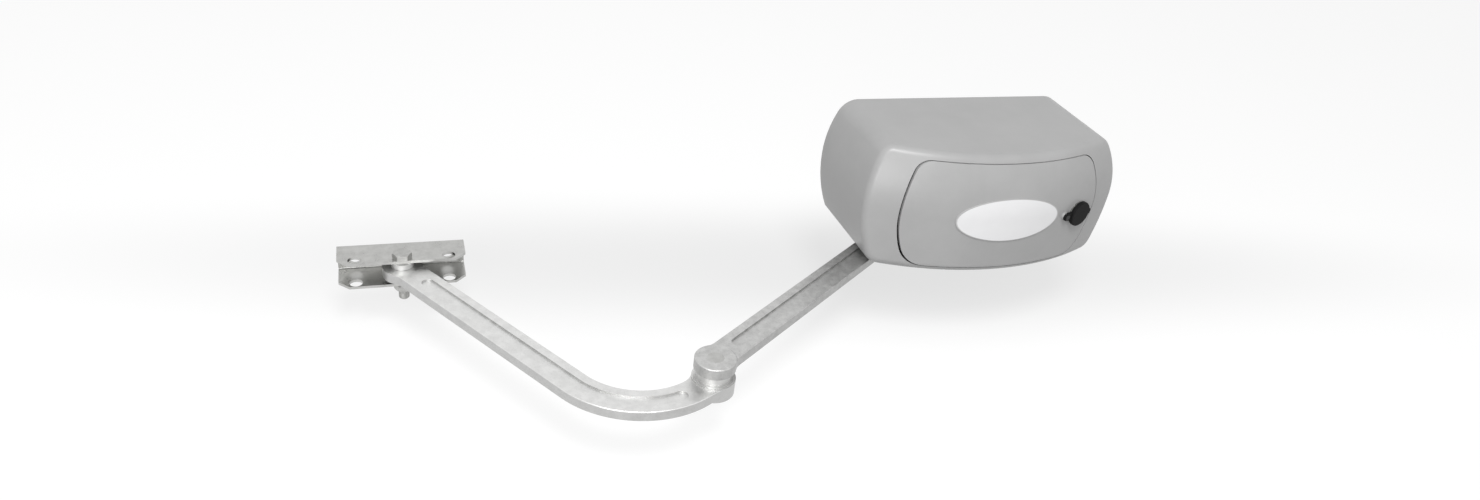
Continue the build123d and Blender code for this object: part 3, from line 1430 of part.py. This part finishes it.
elbow_washer_low = elbow_boss_low - face_gap - elbow_washer_plate
clip_groove_low = elbow_washer_low - clip_groove
clip_bore = elbow_pin_radius - clip_groove_depth
with BuildPart() as elbow_pin:
    drum(elbow_x, elbow_y, clip_groove_low - pin_past_clip, boss_top, elbow_pin_radius)
    drum(elbow_x, elbow_y, clip_groove_low, elbow_washer_low, elbow_pin_radius, mode=Mode.SUBTRACT)
    drum(elbow_x, elbow_y, clip_groove_low, elbow_washer_low, clip_bore)
elbow_pin.part.label = "elbow_pin"
export_step(elbow_pin.part, "parts/elbow_pin.step")

with BuildPart() as elbow_washer:
    washer_high = elbow_boss_low - face_gap
    drum(elbow_x, elbow_y, elbow_washer_low, washer_high, elbow_washer_radius)
    drum(elbow_x, elbow_y, elbow_washer_low, washer_high, elbow_pin_radius + seat, mode=Mode.SUBTRACT)
elbow_washer.part.label = "elbow_washer"
export_step(elbow_washer.part, "parts/elbow_washer.step")

with BuildPart() as elbow_clip:
    clip_levels = (clip_groove_low + clip_play, elbow_washer_low - clip_play)
    drum(elbow_x, elbow_y, clip_levels[0], clip_levels[1], clip_radius)
    drum(elbow_x, elbow_y, clip_levels[0], clip_levels[1], clip_bore + seat, mode=Mode.SUBTRACT)
    block(
        (elbow_x - clip_radius * 1.3, elbow_x - clip_radius * 0.2),
        (-elbow_y - clip_opening / 2, -elbow_y + clip_opening / 2),
        clip_levels,
        mode=Mode.SUBTRACT,
    )
elbow_clip.part.label = "elbow_clip"
export_step(elbow_clip.part, "parts/elbow_clip.step")

# Gate bracket: channel with its web against the gate leaf
bracket_top = curved_top + bracket_headroom + bracket_plate
bracket_low = bracket_top - bracket_height
web_back = bolt_y + bolt_from_web_back
web_front = web_back - bracket_plate
bracket_front = web_back - bracket_depth
hole_half = bracket_hole_spacing / 2
web_middle = level((bracket_low + bracket_top) / 2)
with BuildPart() as gate_bracket:
    with BuildSketch(Plane.YZ.offset(bolt_x - bracket_length / 2)) as section:
        with BuildLine():
            Polyline(
                (bracket_front, level(bracket_top)),
                (web_back, level(bracket_top)),
                (web_back, level(bracket_low)),
                (bracket_front, level(bracket_low)),
                (bracket_front, level(bracket_low + bracket_plate)),
                (web_front, level(bracket_low + bracket_plate)),
                (web_front, level(bracket_top - bracket_plate)),
                (bracket_front, level(bracket_top - bracket_plate)),
                close=True,
            )
        make_face()
        inside = section.vertices().group_by(Axis.X)[-2]
        fillet(inside, bracket_bend - bracket_plate)
        outside = section.vertices().group_by(Axis.X)[-1]
        fillet(outside, bracket_bend)
    extrude(amount=bracket_length)
    corners = gate_bracket.edges().filter_by(Axis.Z).group_by(Axis.Y)[0]
    chamfer(corners, bracket_chamfer)
    for x in (bolt_x - hole_half, bolt_x + hole_half):
        drum(x, bolt_y, bracket_low, bracket_top, bracket_hole / 2, mode=Mode.SUBTRACT)
        peg(x, web_middle, -web_back, -web_front, bracket_hole / 2, mode=Mode.SUBTRACT)
    drum(bolt_x, bolt_y, bracket_low, bracket_top, bolt_radius + seat, mode=Mode.SUBTRACT)
gate_bracket.part.label = "gate_bracket"
export_step(gate_bracket.part, "parts/gate_bracket.step")

with BuildPart() as hinge_bolt:
    drum(bolt_x, bolt_y, bracket_low - nut_height - bolt_past_nut, bracket_top, bolt_radius)
    chamfer(hinge_bolt.edges().group_by(Axis.Z)[0], bolt_end)
    add(hexagon(bolt_x, bolt_y, bracket_top, bracket_top + hex_head))
hinge_bolt.part.label = "hinge_bolt"
export_step(hinge_bolt.part, "parts/hinge_bolt.step")

with BuildPart() as bolt_nut:
    add(hexagon(bolt_x, bolt_y, bracket_low - nut_height, bracket_low))
    drum(bolt_x, bolt_y, bracket_low - nut_height, bracket_low, bolt_radius + seat, mode=Mode.SUBTRACT)
bolt_nut.part.label = "bolt_nut"
export_step(bolt_nut.part, "parts/bolt_nut.step")

with BuildPart() as gate_bush:
    drum(bolt_x, bolt_y, curved_low, curved_top, bolt_radius + bush_wall)
    drum(bolt_x, bolt_y, curved_low, curved_top, bolt_radius + running, mode=Mode.SUBTRACT)
gate_bush.part.label = "gate_bush"
export_step(gate_bush.part, "parts/gate_bush.step")

spacer_spans = (
    (curved_top + face_gap, bracket_top - bracket_plate),
    (bracket_low + bracket_plate, curved_low - face_gap),
)
with BuildPart() as spacers:
    for low, high in spacer_spans:
        drum(bolt_x, bolt_y, low, high, spacer_radius)
        drum(bolt_x, bolt_y, low, high, bolt_radius + seat, mode=Mode.SUBTRACT)
spacers.part.label = "bracket_spacers"
export_step(spacers.part, "parts/bracket_spacers.step")
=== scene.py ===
import json
import math
import bpy
from mathutils import Matrix, Vector


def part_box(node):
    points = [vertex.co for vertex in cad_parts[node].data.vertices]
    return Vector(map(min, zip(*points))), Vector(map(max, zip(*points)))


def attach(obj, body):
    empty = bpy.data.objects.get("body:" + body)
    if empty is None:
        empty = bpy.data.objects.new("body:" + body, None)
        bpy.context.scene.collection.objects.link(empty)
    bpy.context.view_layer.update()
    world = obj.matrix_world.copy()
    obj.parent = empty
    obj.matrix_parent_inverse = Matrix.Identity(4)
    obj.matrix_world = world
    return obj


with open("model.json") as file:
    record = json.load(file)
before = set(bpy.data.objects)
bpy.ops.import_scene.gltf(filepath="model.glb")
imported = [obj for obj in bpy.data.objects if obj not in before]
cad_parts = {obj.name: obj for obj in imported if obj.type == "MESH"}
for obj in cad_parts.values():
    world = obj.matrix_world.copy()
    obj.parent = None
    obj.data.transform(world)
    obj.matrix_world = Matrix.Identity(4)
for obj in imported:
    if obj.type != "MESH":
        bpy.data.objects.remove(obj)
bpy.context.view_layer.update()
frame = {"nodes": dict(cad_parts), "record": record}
nodes = frame["nodes"]
print("frame loaded:", len(nodes), "nodes")

# nothing stays selected, so that the operators below act only on what they add
for obj in bpy.context.selected_objects:
    obj.select_set(False)

mmPerMetre = 1000


def toLinear(hexColour):
    # sRGB hex, as picked from a paint chart, to the linear values that nodes take
    value = hexColour.lstrip("#")
    channels = [int(value[i:i + 2], 16) / 255 for i in (0, 2, 4)]
    linear = [c / 12.92 if c <= 0.04045 else ((c + 0.055) / 1.055) ** 2.4 for c in channels]
    return (*linear, 1.0)


def addNode(tree, kind, settings=None, inputs=None, links=None):
    # one node with its settings, its input values and the sockets that feed it
    node = tree.nodes.new(kind)
    for key, value in (settings or {}).items():
        setattr(node, key, value)
    for key, value in (inputs or {}).items():
        node.inputs[key].default_value = value
    for key, source in (links or {}).items():
        tree.links.new(source, node.inputs[key])
    return node


def newMaterial(name):
    material = bpy.data.materials.new(name)
    material.use_nodes = True
    material.node_tree.nodes.clear()
    return material, material.node_tree


# housingPlastic: injection-moulded ABS, satin grey with a fine spark-eroded grain that
# spreads the lamps' reflections into soft bands along the rounded edges; the real grain of
# 0.2 mm is drawn at 0.9 mm, since a finer one doesn't show
housingPlastic = {
    "colour": "#a9a9a9",
    "shade": "#a3a3a3",
    "roughness": 0.33,
    "grainMm": 0.9,
    "bumpMm": 0.010,
    "cloudMm": 70.0,
    "speck": 0.0,
    "sides": 1.0,
}

# straightCasting: tumbled die-cast aluminium, cloudy and rather dull, with small dark pits,
# drawn at 1.8 mm where the real ones are some 0.5 mm
straightCasting = {
    "colour": "#cacac9",
    "shade": "#b9b9b8",
    "roughness": 0.44,
    "grainMm": 1.8,
    "bumpMm": 0.05,
    "cloudMm": 8.0,
    "speck": 0.10,
    # painted shade: side faces of this arm drawn at 0.80 of the top faces' colour
    "sides": 0.80,
}

# curvedCasting: the same alloy from another mould, cleaner and brighter than the other arm
curvedCasting = {
    "colour": "#e0e0df",
    "shade": "#d6d6d5",
    "roughness": 0.40,
    "grainMm": 1.8,
    "bumpMm": 0.04,
    "cloudMm": 9.0,
    "speck": 0.06,
    # painted shade: side faces of this arm drawn at 0.72 of the top faces' colour
    "sides": 0.72,
}

# zincSteel: pressed steel with bright zinc plating, faintly blotched by its crystals
zincSteel = {
    "colour": "#bfbfbd",
    "shade": "#b2b2b0",
    "roughness": 0.30,
    "grainMm": 2.4,
    "bumpMm": 0.012,
    "cloudMm": 9.0,
    "speck": 0.04,
    "sides": 1.0,
}


# skin: the noise that all finishes share, and the part of its span that each use reads
skin = {
    "cloudDetail": 6.0,
    "cloudRoughness": 0.62,
    "cloudRange": (0.36, 0.64),
    "grainDetail": 3.0,
    "grainRoughness": 0.55,
    "pitRange": (0.36, 0.44),
    # painted shade: the span over which the side faces' painted darkening fades out towards faces
    # that look up
    "sideShadeRange": (0.2, 0.8),     # upward part of the surface's direction
    "glossRange": (0.3, 0.7),
    "glossier": 0.04,     # how far the roughness falls and rises over a surface
    "duller": 0.05,
}


def cloudyMaterial(name, look, metallic, coat=0.0, reflect=0.5):
    # colour clouds with specks over them, painted shade on the side faces, uneven gloss, and a fine
    # relief for the skin
    material, tree = newMaterial(name)
    place = addNode(tree, "ShaderNodeTexCoord")
    coords = place.outputs["Object"]
    clouds = addNode(
        tree, "ShaderNodeTexNoise",
        inputs={
            "Scale": mmPerMetre / look["cloudMm"],
            "Detail": skin["cloudDetail"], "Roughness": skin["cloudRoughness"],
        },
        links={"Vector": coords},
    ).outputs["Fac"]
    grain = addNode(
        tree, "ShaderNodeTexNoise",
        inputs={
            "Scale": mmPerMetre / look["grainMm"],
            "Detail": skin["grainDetail"], "Roughness": skin["grainRoughness"],
        },
        links={"Vector": coords},
    ).outputs["Fac"]
    spread = addNode(
        tree, "ShaderNodeMapRange",
        inputs={"From Min": skin["cloudRange"][0], "From Max": skin["cloudRange"][1]},
        links={"Value": clouds},
    ).outputs[0]
    colour = addNode(tree, "ShaderNodeMix", {"data_type": "RGBA"}, links={0: spread})
    colour.inputs[6].default_value = toLinear(look["shade"])
    colour.inputs[7].default_value = toLinear(look["colour"])
    pits = addNode(
        tree, "ShaderNodeMapRange",
        inputs={
            "From Min": skin["pitRange"][0], "From Max": skin["pitRange"][1],
            "To Min": 1 - look["speck"], "To Max": 1.0,
        },
        links={"Value": grain},
    ).outputs[0]
    # painted shade: faces that turn away from up are drawn darker than the faces above them, by
    # their direction alone
    upward = addNode(tree, "ShaderNodeSeparateXYZ", links={0: place.outputs["Normal"]}).outputs[2]
    paintedSideShade = addNode(
        tree, "ShaderNodeMapRange",
        inputs={
            "From Min": skin["sideShadeRange"][0], "From Max": skin["sideShadeRange"][1],
            "To Min": look["sides"], "To Max": 1.0,
        },
        links={"Value": upward},
    ).outputs[0]
    pitsAndSideShade = addNode(
        tree, "ShaderNodeMath", {"operation": "MULTIPLY"}, links={0: pits, 1: paintedSideShade},
    ).outputs[0]
    colourWithSideShade = addNode(
        tree, "ShaderNodeVectorMath", {"operation": "MULTIPLY"},
        links={0: colour.outputs[2], 1: pitsAndSideShade},
    ).outputs[0]
    rough = addNode(
        tree, "ShaderNodeMapRange",
        inputs={
            "From Min": skin["glossRange"][0], "From Max": skin["glossRange"][1],
            "To Min": look["roughness"] - skin["glossier"],
            "To Max": look["roughness"] + skin["duller"],
        },
        links={"Value": clouds},
    ).outputs[0]
    relief = addNode(
        tree, "ShaderNodeBump",
        inputs={"Strength": 1.0, "Distance": look["bumpMm"] / mmPerMetre},
        links={"Height": grain},
    ).outputs[0]
    shader = addNode(
        tree, "ShaderNodeBsdfPrincipled",
        inputs={"Metallic": metallic, "Coat Weight": coat, "Specular IOR Level": reflect},
        links={"Base Color": colourWithSideShade, "Roughness": rough, "Normal": relief},
    )
    addNode(tree, "ShaderNodeOutputMaterial", links={"Surface": shader.outputs[0]})
    return material


def plainLook(colour, shade, roughness, grainMm=1.0, bumpMm=0.01, cloudMm=12.0, speck=0.04):
    # the same settings in short, for pieces that are small or inside
    return {
        "colour": colour, "shade": shade, "roughness": roughness, "grainMm": grainMm,
        "bumpMm": bumpMm, "cloudMm": cloudMm, "speck": speck, "sides": 1.0,
    }


# badgeEnamel: glossy white enamel, with the bare edge of the plate showing as a grey rim
badgeEnamel = {
    "centre": (-0.001, -0.0015),
    "halfSize": (0.063, 0.025),
    "enamel": "#ececed",
    "thinEnamel": "#e6e6e7",
    "rim": "#b4b4b4",
    "rimStart": 0.965,
    "rimEnd": 0.985,
    "waveScale": 60.0,
    "waveDetail": 2.0,
    "waveHeight": 0.00002,
    "roughness": 0.3,
    "coat": 0.2,
}


def badgeMaterial(name, spec):
    # distance from the middle of the oval, 1 at its edge, sets where the rim begins
    material, tree = newMaterial(name)
    coords = addNode(tree, "ShaderNodeTexCoord").outputs["Object"]
    split = addNode(tree, "ShaderNodeSeparateXYZ", links={0: coords})
    squares = []
    for axis, middle, half in zip((0, 2), spec["centre"], spec["halfSize"]):
        shifted = addNode(
            tree, "ShaderNodeMath", {"operation": "MULTIPLY_ADD"},
            inputs={1: 1 / half, 2: -middle / half}, links={0: split.outputs[axis]},
        )
        squares.append(addNode(
            tree, "ShaderNodeMath", {"operation": "POWER"}, inputs={1: 2.0},
            links={0: addNode(
                tree, "ShaderNodeMath", {"operation": "ABSOLUTE"}, links={0: shifted.outputs[0]},
            ).outputs[0]},
        ).outputs[0])
    total = addNode(
        tree, "ShaderNodeMath", {"operation": "ADD"}, links={0: squares[0], 1: squares[1]},
    )
    edge = addNode(
        tree, "ShaderNodeMapRange",
        inputs={"From Min": spec["rimStart"] ** 2, "From Max": spec["rimEnd"] ** 2},
        links={"Value": total.outputs[0]},
    )
    waves = addNode(
        tree, "ShaderNodeTexNoise",
        inputs={"Scale": spec["waveScale"], "Detail": spec["waveDetail"]}, links={"Vector": coords},
    )
    enamel = addNode(tree, "ShaderNodeMix", {"data_type": "RGBA"}, links={0: waves.outputs["Fac"]})
    enamel.inputs[6].default_value = toLinear(spec["enamel"])
    enamel.inputs[7].default_value = toLinear(spec["thinEnamel"])
    colour = addNode(
        tree, "ShaderNodeMix", {"data_type": "RGBA"},
        links={0: edge.outputs[0], 6: enamel.outputs[2]},
    )
    colour.inputs[7].default_value = toLinear(spec["rim"])
    relief = addNode(
        tree, "ShaderNodeBump", inputs={"Strength": 1.0, "Distance": spec["waveHeight"]},
        links={"Height": waves.outputs["Fac"]},
    )
    shader = addNode(
        tree, "ShaderNodeBsdfPrincipled",
        inputs={"Roughness": spec["roughness"], "Coat Weight": spec["coat"]},
        links={"Base Color": colour.outputs[2], "Normal": relief.outputs[0]},
    )
    addNode(tree, "ShaderNodeOutputMaterial", links={"Surface": shader.outputs[0]})
    return material


finishes = {
    "housing_plastic": cloudyMaterial("mouldedAbs", housingPlastic, 0.0),
    "arm_cast": cloudyMaterial("straightArmCasting", straightCasting, 1.0),
    "zinc_steel": cloudyMaterial("zincPlatedSteel", zincSteel, 1.0),
    "badge_white": badgeMaterial("whiteEnamelPlate", badgeEnamel),
    # moulded rubber: near black and matt, hardly a reflection
    "black_rubber": cloudyMaterial(
        "blackRubber", plainLook("#191919", "#141414", 0.6, 0.8, 0.03), 0.0, reflect=0.1,
    ),
    # sand-cast aluminium: rough grey skin of the gear case, coarse against the arms
    "case_cast": cloudyMaterial(
        "sandCastAluminium", plainLook("#b4b4b2", "#969694", 0.55, 1.4, 0.09), 1.0,
    ),
    # machined steel: darker than the plated pieces and sharper in its reflections
    "gear_steel": cloudyMaterial("machinedSteel", plainLook("#9a9a9c", "#838385", 0.3), 1.0),
    # sintered bronze: warm brown metal of the bushes and the worm wheel
    "bronze": cloudyMaterial("sinteredBronze", plainLook("#b08a4c", "#96733c", 0.35), 1.0),
    # nickel-plated brass: smooth, dimmed by handling
    "lock_metal": cloudyMaterial("nickelPlatedBrass", plainLook("#8e8e8b", "#80807d", 0.32), 1.0),
    # moulded polyamide: black with a low sheen
    "black_plastic": cloudyMaterial("blackPolyamide", plainLook("#2a2a2a", "#222222", 0.45), 0.0),
    # solder mask: dark green under a clear gloss
    "board_green": cloudyMaterial("solderMask", plainLook("#1e5a32", "#184c2a", 0.3), 0.0, 0.4),
    # stove enamel of the motor can: black and fairly glossy
    "motor_paint": cloudyMaterial("blackEnamel", plainLook("#2c2c2e", "#242426", 0.35), 0.0),
    # enamelled copper wire: red-brown, its turns drawn as a grain of 0.6 mm
    "copper_winding": cloudyMaterial(
        "enamelledCopper", plainLook("#a8622e", "#8c4e24", 0.35, 0.6, 0.05), 1.0,
    ),
    # sintered ferrite: dull charcoal grey
    "magnet_ferrite": cloudyMaterial("sinteredFerrite", plainLook("#3a3a3a", "#303030", 0.6), 0.0),
}

# turnedSteel: lathe-cut rings, fine feed marks that blur the lamps into an even pale sheen
turnedSteel = cloudyMaterial(
    "turnedSteel", plainLook("#cbcbca", "#c2c2c1", 0.5, 1.2, 0.004, 9.0, 0.02), 1.0,
)
# dullSteel: the nut and bolt are plated thicker and darker than the sheet they hold
dullSteel = cloudyMaterial(
    "dullPlatedSteel", plainLook("#bbbbb9", "#ababa9", 0.34, 1.6, 0.008, 6.0, 0.10), 1.0,
)
# these pieces differ from the rest of their material
ownFinish = {
    "curved_arm": cloudyMaterial("curvedArmCasting", curvedCasting, 1.0),
    # blackened steel: the rivet goes unseen on its black cap
    "cap_rivet": cloudyMaterial("blackenedSteel", plainLook("#2e2e2e", "#262626", 0.5), 0.6),
    "elbow_bush": turnedSteel,
    "bracket_spacers": turnedSteel,
    "hinge_bolt": dullSteel,
    "bolt_nut": dullSteel,
}

slotOf = {entry["node"]: entry["material_slot"] for entry in frame["record"]["subparts"]}
for name, obj in nodes.items():
    material = ownFinish.get(name, finishes[slotOf[name]])
    if not obj.material_slots:
        obj.data.materials.append(material)
    for place in obj.material_slots:
        place.material = material
print("finishes set:", len(finishes) + len(ownFinish))

# the hinge bolt's thread stands out below its nut as one ridge that climbs round the shank
boltThread = {
    "turns": 7,
    "pitch": 0.0015,
    "radius": 0.0050,
    "ridge": 0.00042,
    "aboveEnd": 0.0011,
    "corners": 4,
    "stepsPerTurn": 48,
    "smoothAngle": 35.0,
}


def buildThread(spec):
    # a lozenge beside the axis, wound up by a Screw modifier and capped at both ends
    bpy.ops.mesh.primitive_circle_add(
        vertices=spec["corners"], radius=spec["ridge"], location=(spec["radius"], 0, 0),
        rotation=(math.radians(90), 0, 0),
    )
    thread = bpy.context.active_object
    thread.name = "bolt_thread"
    bpy.ops.object.transform_apply(location=True, rotation=True, scale=True)
    winding = thread.modifiers.new("winding", "SCREW")
    winding.axis = "Z"
    winding.screw_offset = spec["pitch"]
    winding.iterations = spec["turns"]
    winding.steps = spec["stepsPerTurn"]
    winding.render_steps = spec["stepsPerTurn"]
    bpy.ops.object.modifier_apply(modifier="winding")
    low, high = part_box("hinge_bolt")
    middle = (low + high) / 2
    bpy.ops.object.mode_set(mode="EDIT")
    bpy.ops.mesh.select_all(action="SELECT")
    bpy.ops.mesh.fill_holes(sides=spec["corners"])
    bpy.ops.mesh.normals_make_consistent(inside=False)
    bpy.ops.transform.translate(value=(middle.x, middle.y, low.z + spec["aboveEnd"]))
    bpy.ops.object.mode_set(mode="OBJECT")
    bpy.ops.object.shade_smooth_by_angle(angle=math.radians(spec["smoothAngle"]))
    thread.data.materials.append(dullSteel)
    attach(thread, "gate_bracket_body")
    thread.select_set(False)


buildThread(boltThread)
print("bolt thread added")

# camera: read from the straight edges of the arms, bracket and housing
cameraView = {
    "place": (-0.6276, -0.98575, 0.5067),
    "yaw": 21.53,
    "pitch": 30.69,
    "roll": -7.72,
    "focal": 1042.8,     # pixels, for a frame 1480 pixels wide
    "frameWidth": 1480.0,
    "sensorWidth": 36.0,
    "clipEnd": 50.0,
}


def placeCamera(spec):
    yaw, pitch, roll = (math.radians(spec[key]) for key in ("yaw", "pitch", "roll"))
    flat = math.cos(pitch)
    ahead = Vector((math.sin(yaw) * flat, math.cos(yaw) * flat, -math.sin(pitch)))
    level = Vector((math.cos(yaw), -math.sin(yaw), 0))
    down = ahead.cross(level)
    right = level * math.cos(roll) + down * math.sin(roll)
    below = -level * math.sin(roll) + down * math.cos(roll)
    turn = Matrix((right, -below, -ahead)).transposed()
    data = bpy.data.cameras.new("photoCamera")
    data.sensor_fit = "HORIZONTAL"
    data.sensor_width = spec["sensorWidth"]
    data.lens = spec["sensorWidth"] * spec["focal"] / spec["frameWidth"]
    data.clip_end = spec["clipEnd"]
    camera = bpy.data.objects.new("photoCamera", data)
    bpy.context.scene.collection.objects.link(camera)
    camera.matrix_world = Matrix.Translation(spec["place"]) @ turn.to_4x4()
    bpy.context.scene.camera = camera


placeCamera(cameraView)

# studio: pale paper floor a little below the arms, white all round, a high soft key lamp from
# the front left and a wide weak one from the front
studio = {
    "floorHeight": -0.17,
    "floorSize": 14.0,
    "paper": "#ffffff",
    "shadowShare": 0.24,
    # painted shadow: tone, place, turn and size of a soft grey band on the paper under and behind
    # the object
    "shadowBandTone": "#ebebeb",
    "bounce": "#8c8c8c",
    "glow": 1.055,
    "shadowBandCentre": (-0.13, 0.03),
    "shadowBandTurn": -8.0,
    "shadowBandHalf": (1.32, 0.23),
    "lamps": (     # name, place, what it points at, width, power
        ("keyLamp", (-0.50, -1.10, 1.75), (-0.05, -0.20, 0.0), 0.7, 22.0),
        ("frontLamp", (-1.45, -2.05, 0.60), (-0.10, -0.15, 0.0), 1.6, 28.0),
    ),
    "worldLight": 0.45,
}


def seenDirectly(tree):
    # 1 for rays from the camera and for those that shiny or clear things send on
    path = addNode(tree, "ShaderNodeLightPath")
    level = path.outputs["Is Camera Ray"]
    for kind in ("Is Glossy Ray", "Is Transmission Ray"):
        level = addNode(
            tree, "ShaderNodeMath", {"operation": "MAXIMUM"},
            links={0: level, 1: path.outputs[kind]},
        ).outputs[0]
    return level


def buildFloor(spec):
    bpy.ops.mesh.primitive_plane_add(size=spec["floorSize"], location=(0, 0, spec["floorHeight"]))
    floor = bpy.context.active_object
    floor.name = "floor"
    material, tree = newMaterial("palePaper")
    coords = addNode(tree, "ShaderNodeTexCoord").outputs["Object"]
    # painted shadow: a wide soft grey band on the paper behind and under the object
    turned = addNode(
        tree, "ShaderNodeMapping", {"vector_type": "TEXTURE"},
        inputs={
            "Location": (*spec["shadowBandCentre"], 0.0),
            "Rotation": (0.0, 0.0, math.radians(spec["shadowBandTurn"])),
            "Scale": (*spec["shadowBandHalf"], 1.0),
        },
        links={"Vector": coords},
    )
    distance = addNode(
        tree, "ShaderNodeVectorMath", {"operation": "LENGTH"}, links={0: turned.outputs[0]},
    )
    fade = addNode(
        tree, "ShaderNodeMapRange", {"interpolation_type": "SMOOTHERSTEP"},
        inputs={"From Min": 0.0, "From Max": 1.0, "To Min": 1.0, "To Max": 0.0},
        links={"Value": distance.outputs["Value"]},
    )
    tone = addNode(tree, "ShaderNodeMix", {"data_type": "RGBA"}, links={0: fade.outputs[0]})
    tone.inputs[6].default_value = toLinear(spec["paper"])
    tone.inputs[7].default_value = toLinear(spec["shadowBandTone"])
    surface = addNode(tree, "ShaderNodeBsdfDiffuse", links={"Color": tone.outputs[2]})
    dull = addNode(tree, "ShaderNodeBsdfDiffuse", inputs={"Color": toLinear(spec["bounce"])})
    glow = addNode(
        tree, "ShaderNodeEmission",
        inputs={"Strength": spec["glow"]}, links={"Color": tone.outputs[2]},
    )
    lit = addNode(
        tree, "ShaderNodeMixShader", inputs={0: 1 - spec["shadowShare"]},
        links={1: surface.outputs[0], 2: glow.outputs[0]},
    )
    shown = addNode(
        tree, "ShaderNodeMixShader",
        links={0: seenDirectly(tree), 1: dull.outputs[0], 2: lit.outputs[0]},
    )
    # clear from below, so that the underside can be looked at
    clear = addNode(tree, "ShaderNodeBsdfTransparent")
    oneSided = addNode(
        tree, "ShaderNodeMixShader",
        links={
            0: addNode(tree, "ShaderNodeNewGeometry").outputs["Backfacing"],
            1: shown.outputs[0], 2: clear.outputs[0],
        },
    )
    addNode(tree, "ShaderNodeOutputMaterial", links={"Surface": oneSided.outputs[0]})
    floor.data.materials.append(material)


def buildWorld(spec):
    world = bpy.data.worlds.new("studioWorld")
    world.use_nodes = True
    tree = world.node_tree
    tree.nodes.clear()
    paperWhite = toLinear(spec["paper"])
    dim = addNode(
        tree, "ShaderNodeBackground", inputs={"Color": paperWhite, "Strength": spec["worldLight"]},
    )
    white = addNode(tree, "ShaderNodeBackground", inputs={"Color": paperWhite, "Strength": 1.0})
    shown = addNode(
        tree, "ShaderNodeMixShader",
        links={0: seenDirectly(tree), 1: dim.outputs[0], 2: white.outputs[0]},
    )
    addNode(tree, "ShaderNodeOutputWorld", links={"Surface": shown.outputs[0]})
    bpy.context.scene.world = world


def buildLamps(spec):
    for name, place, target, size, power in spec["lamps"]:
        data = bpy.data.lights.new(name, "AREA")
        data.shape = "DISK"
        data.size = size
        data.energy = power
        lamp = bpy.data.objects.new(name, data)
        bpy.context.scene.collection.objects.link(lamp)
        lamp.location = place
        lamp.rotation_euler = (Vector(target) - Vector(place)).to_track_quat("-Z", "Y").to_euler()


buildFloor(studio)
buildWorld(studio)
buildLamps(studio)
print("studio and camera placed")

bpy.context.scene.view_settings.view_transform = "Standard"
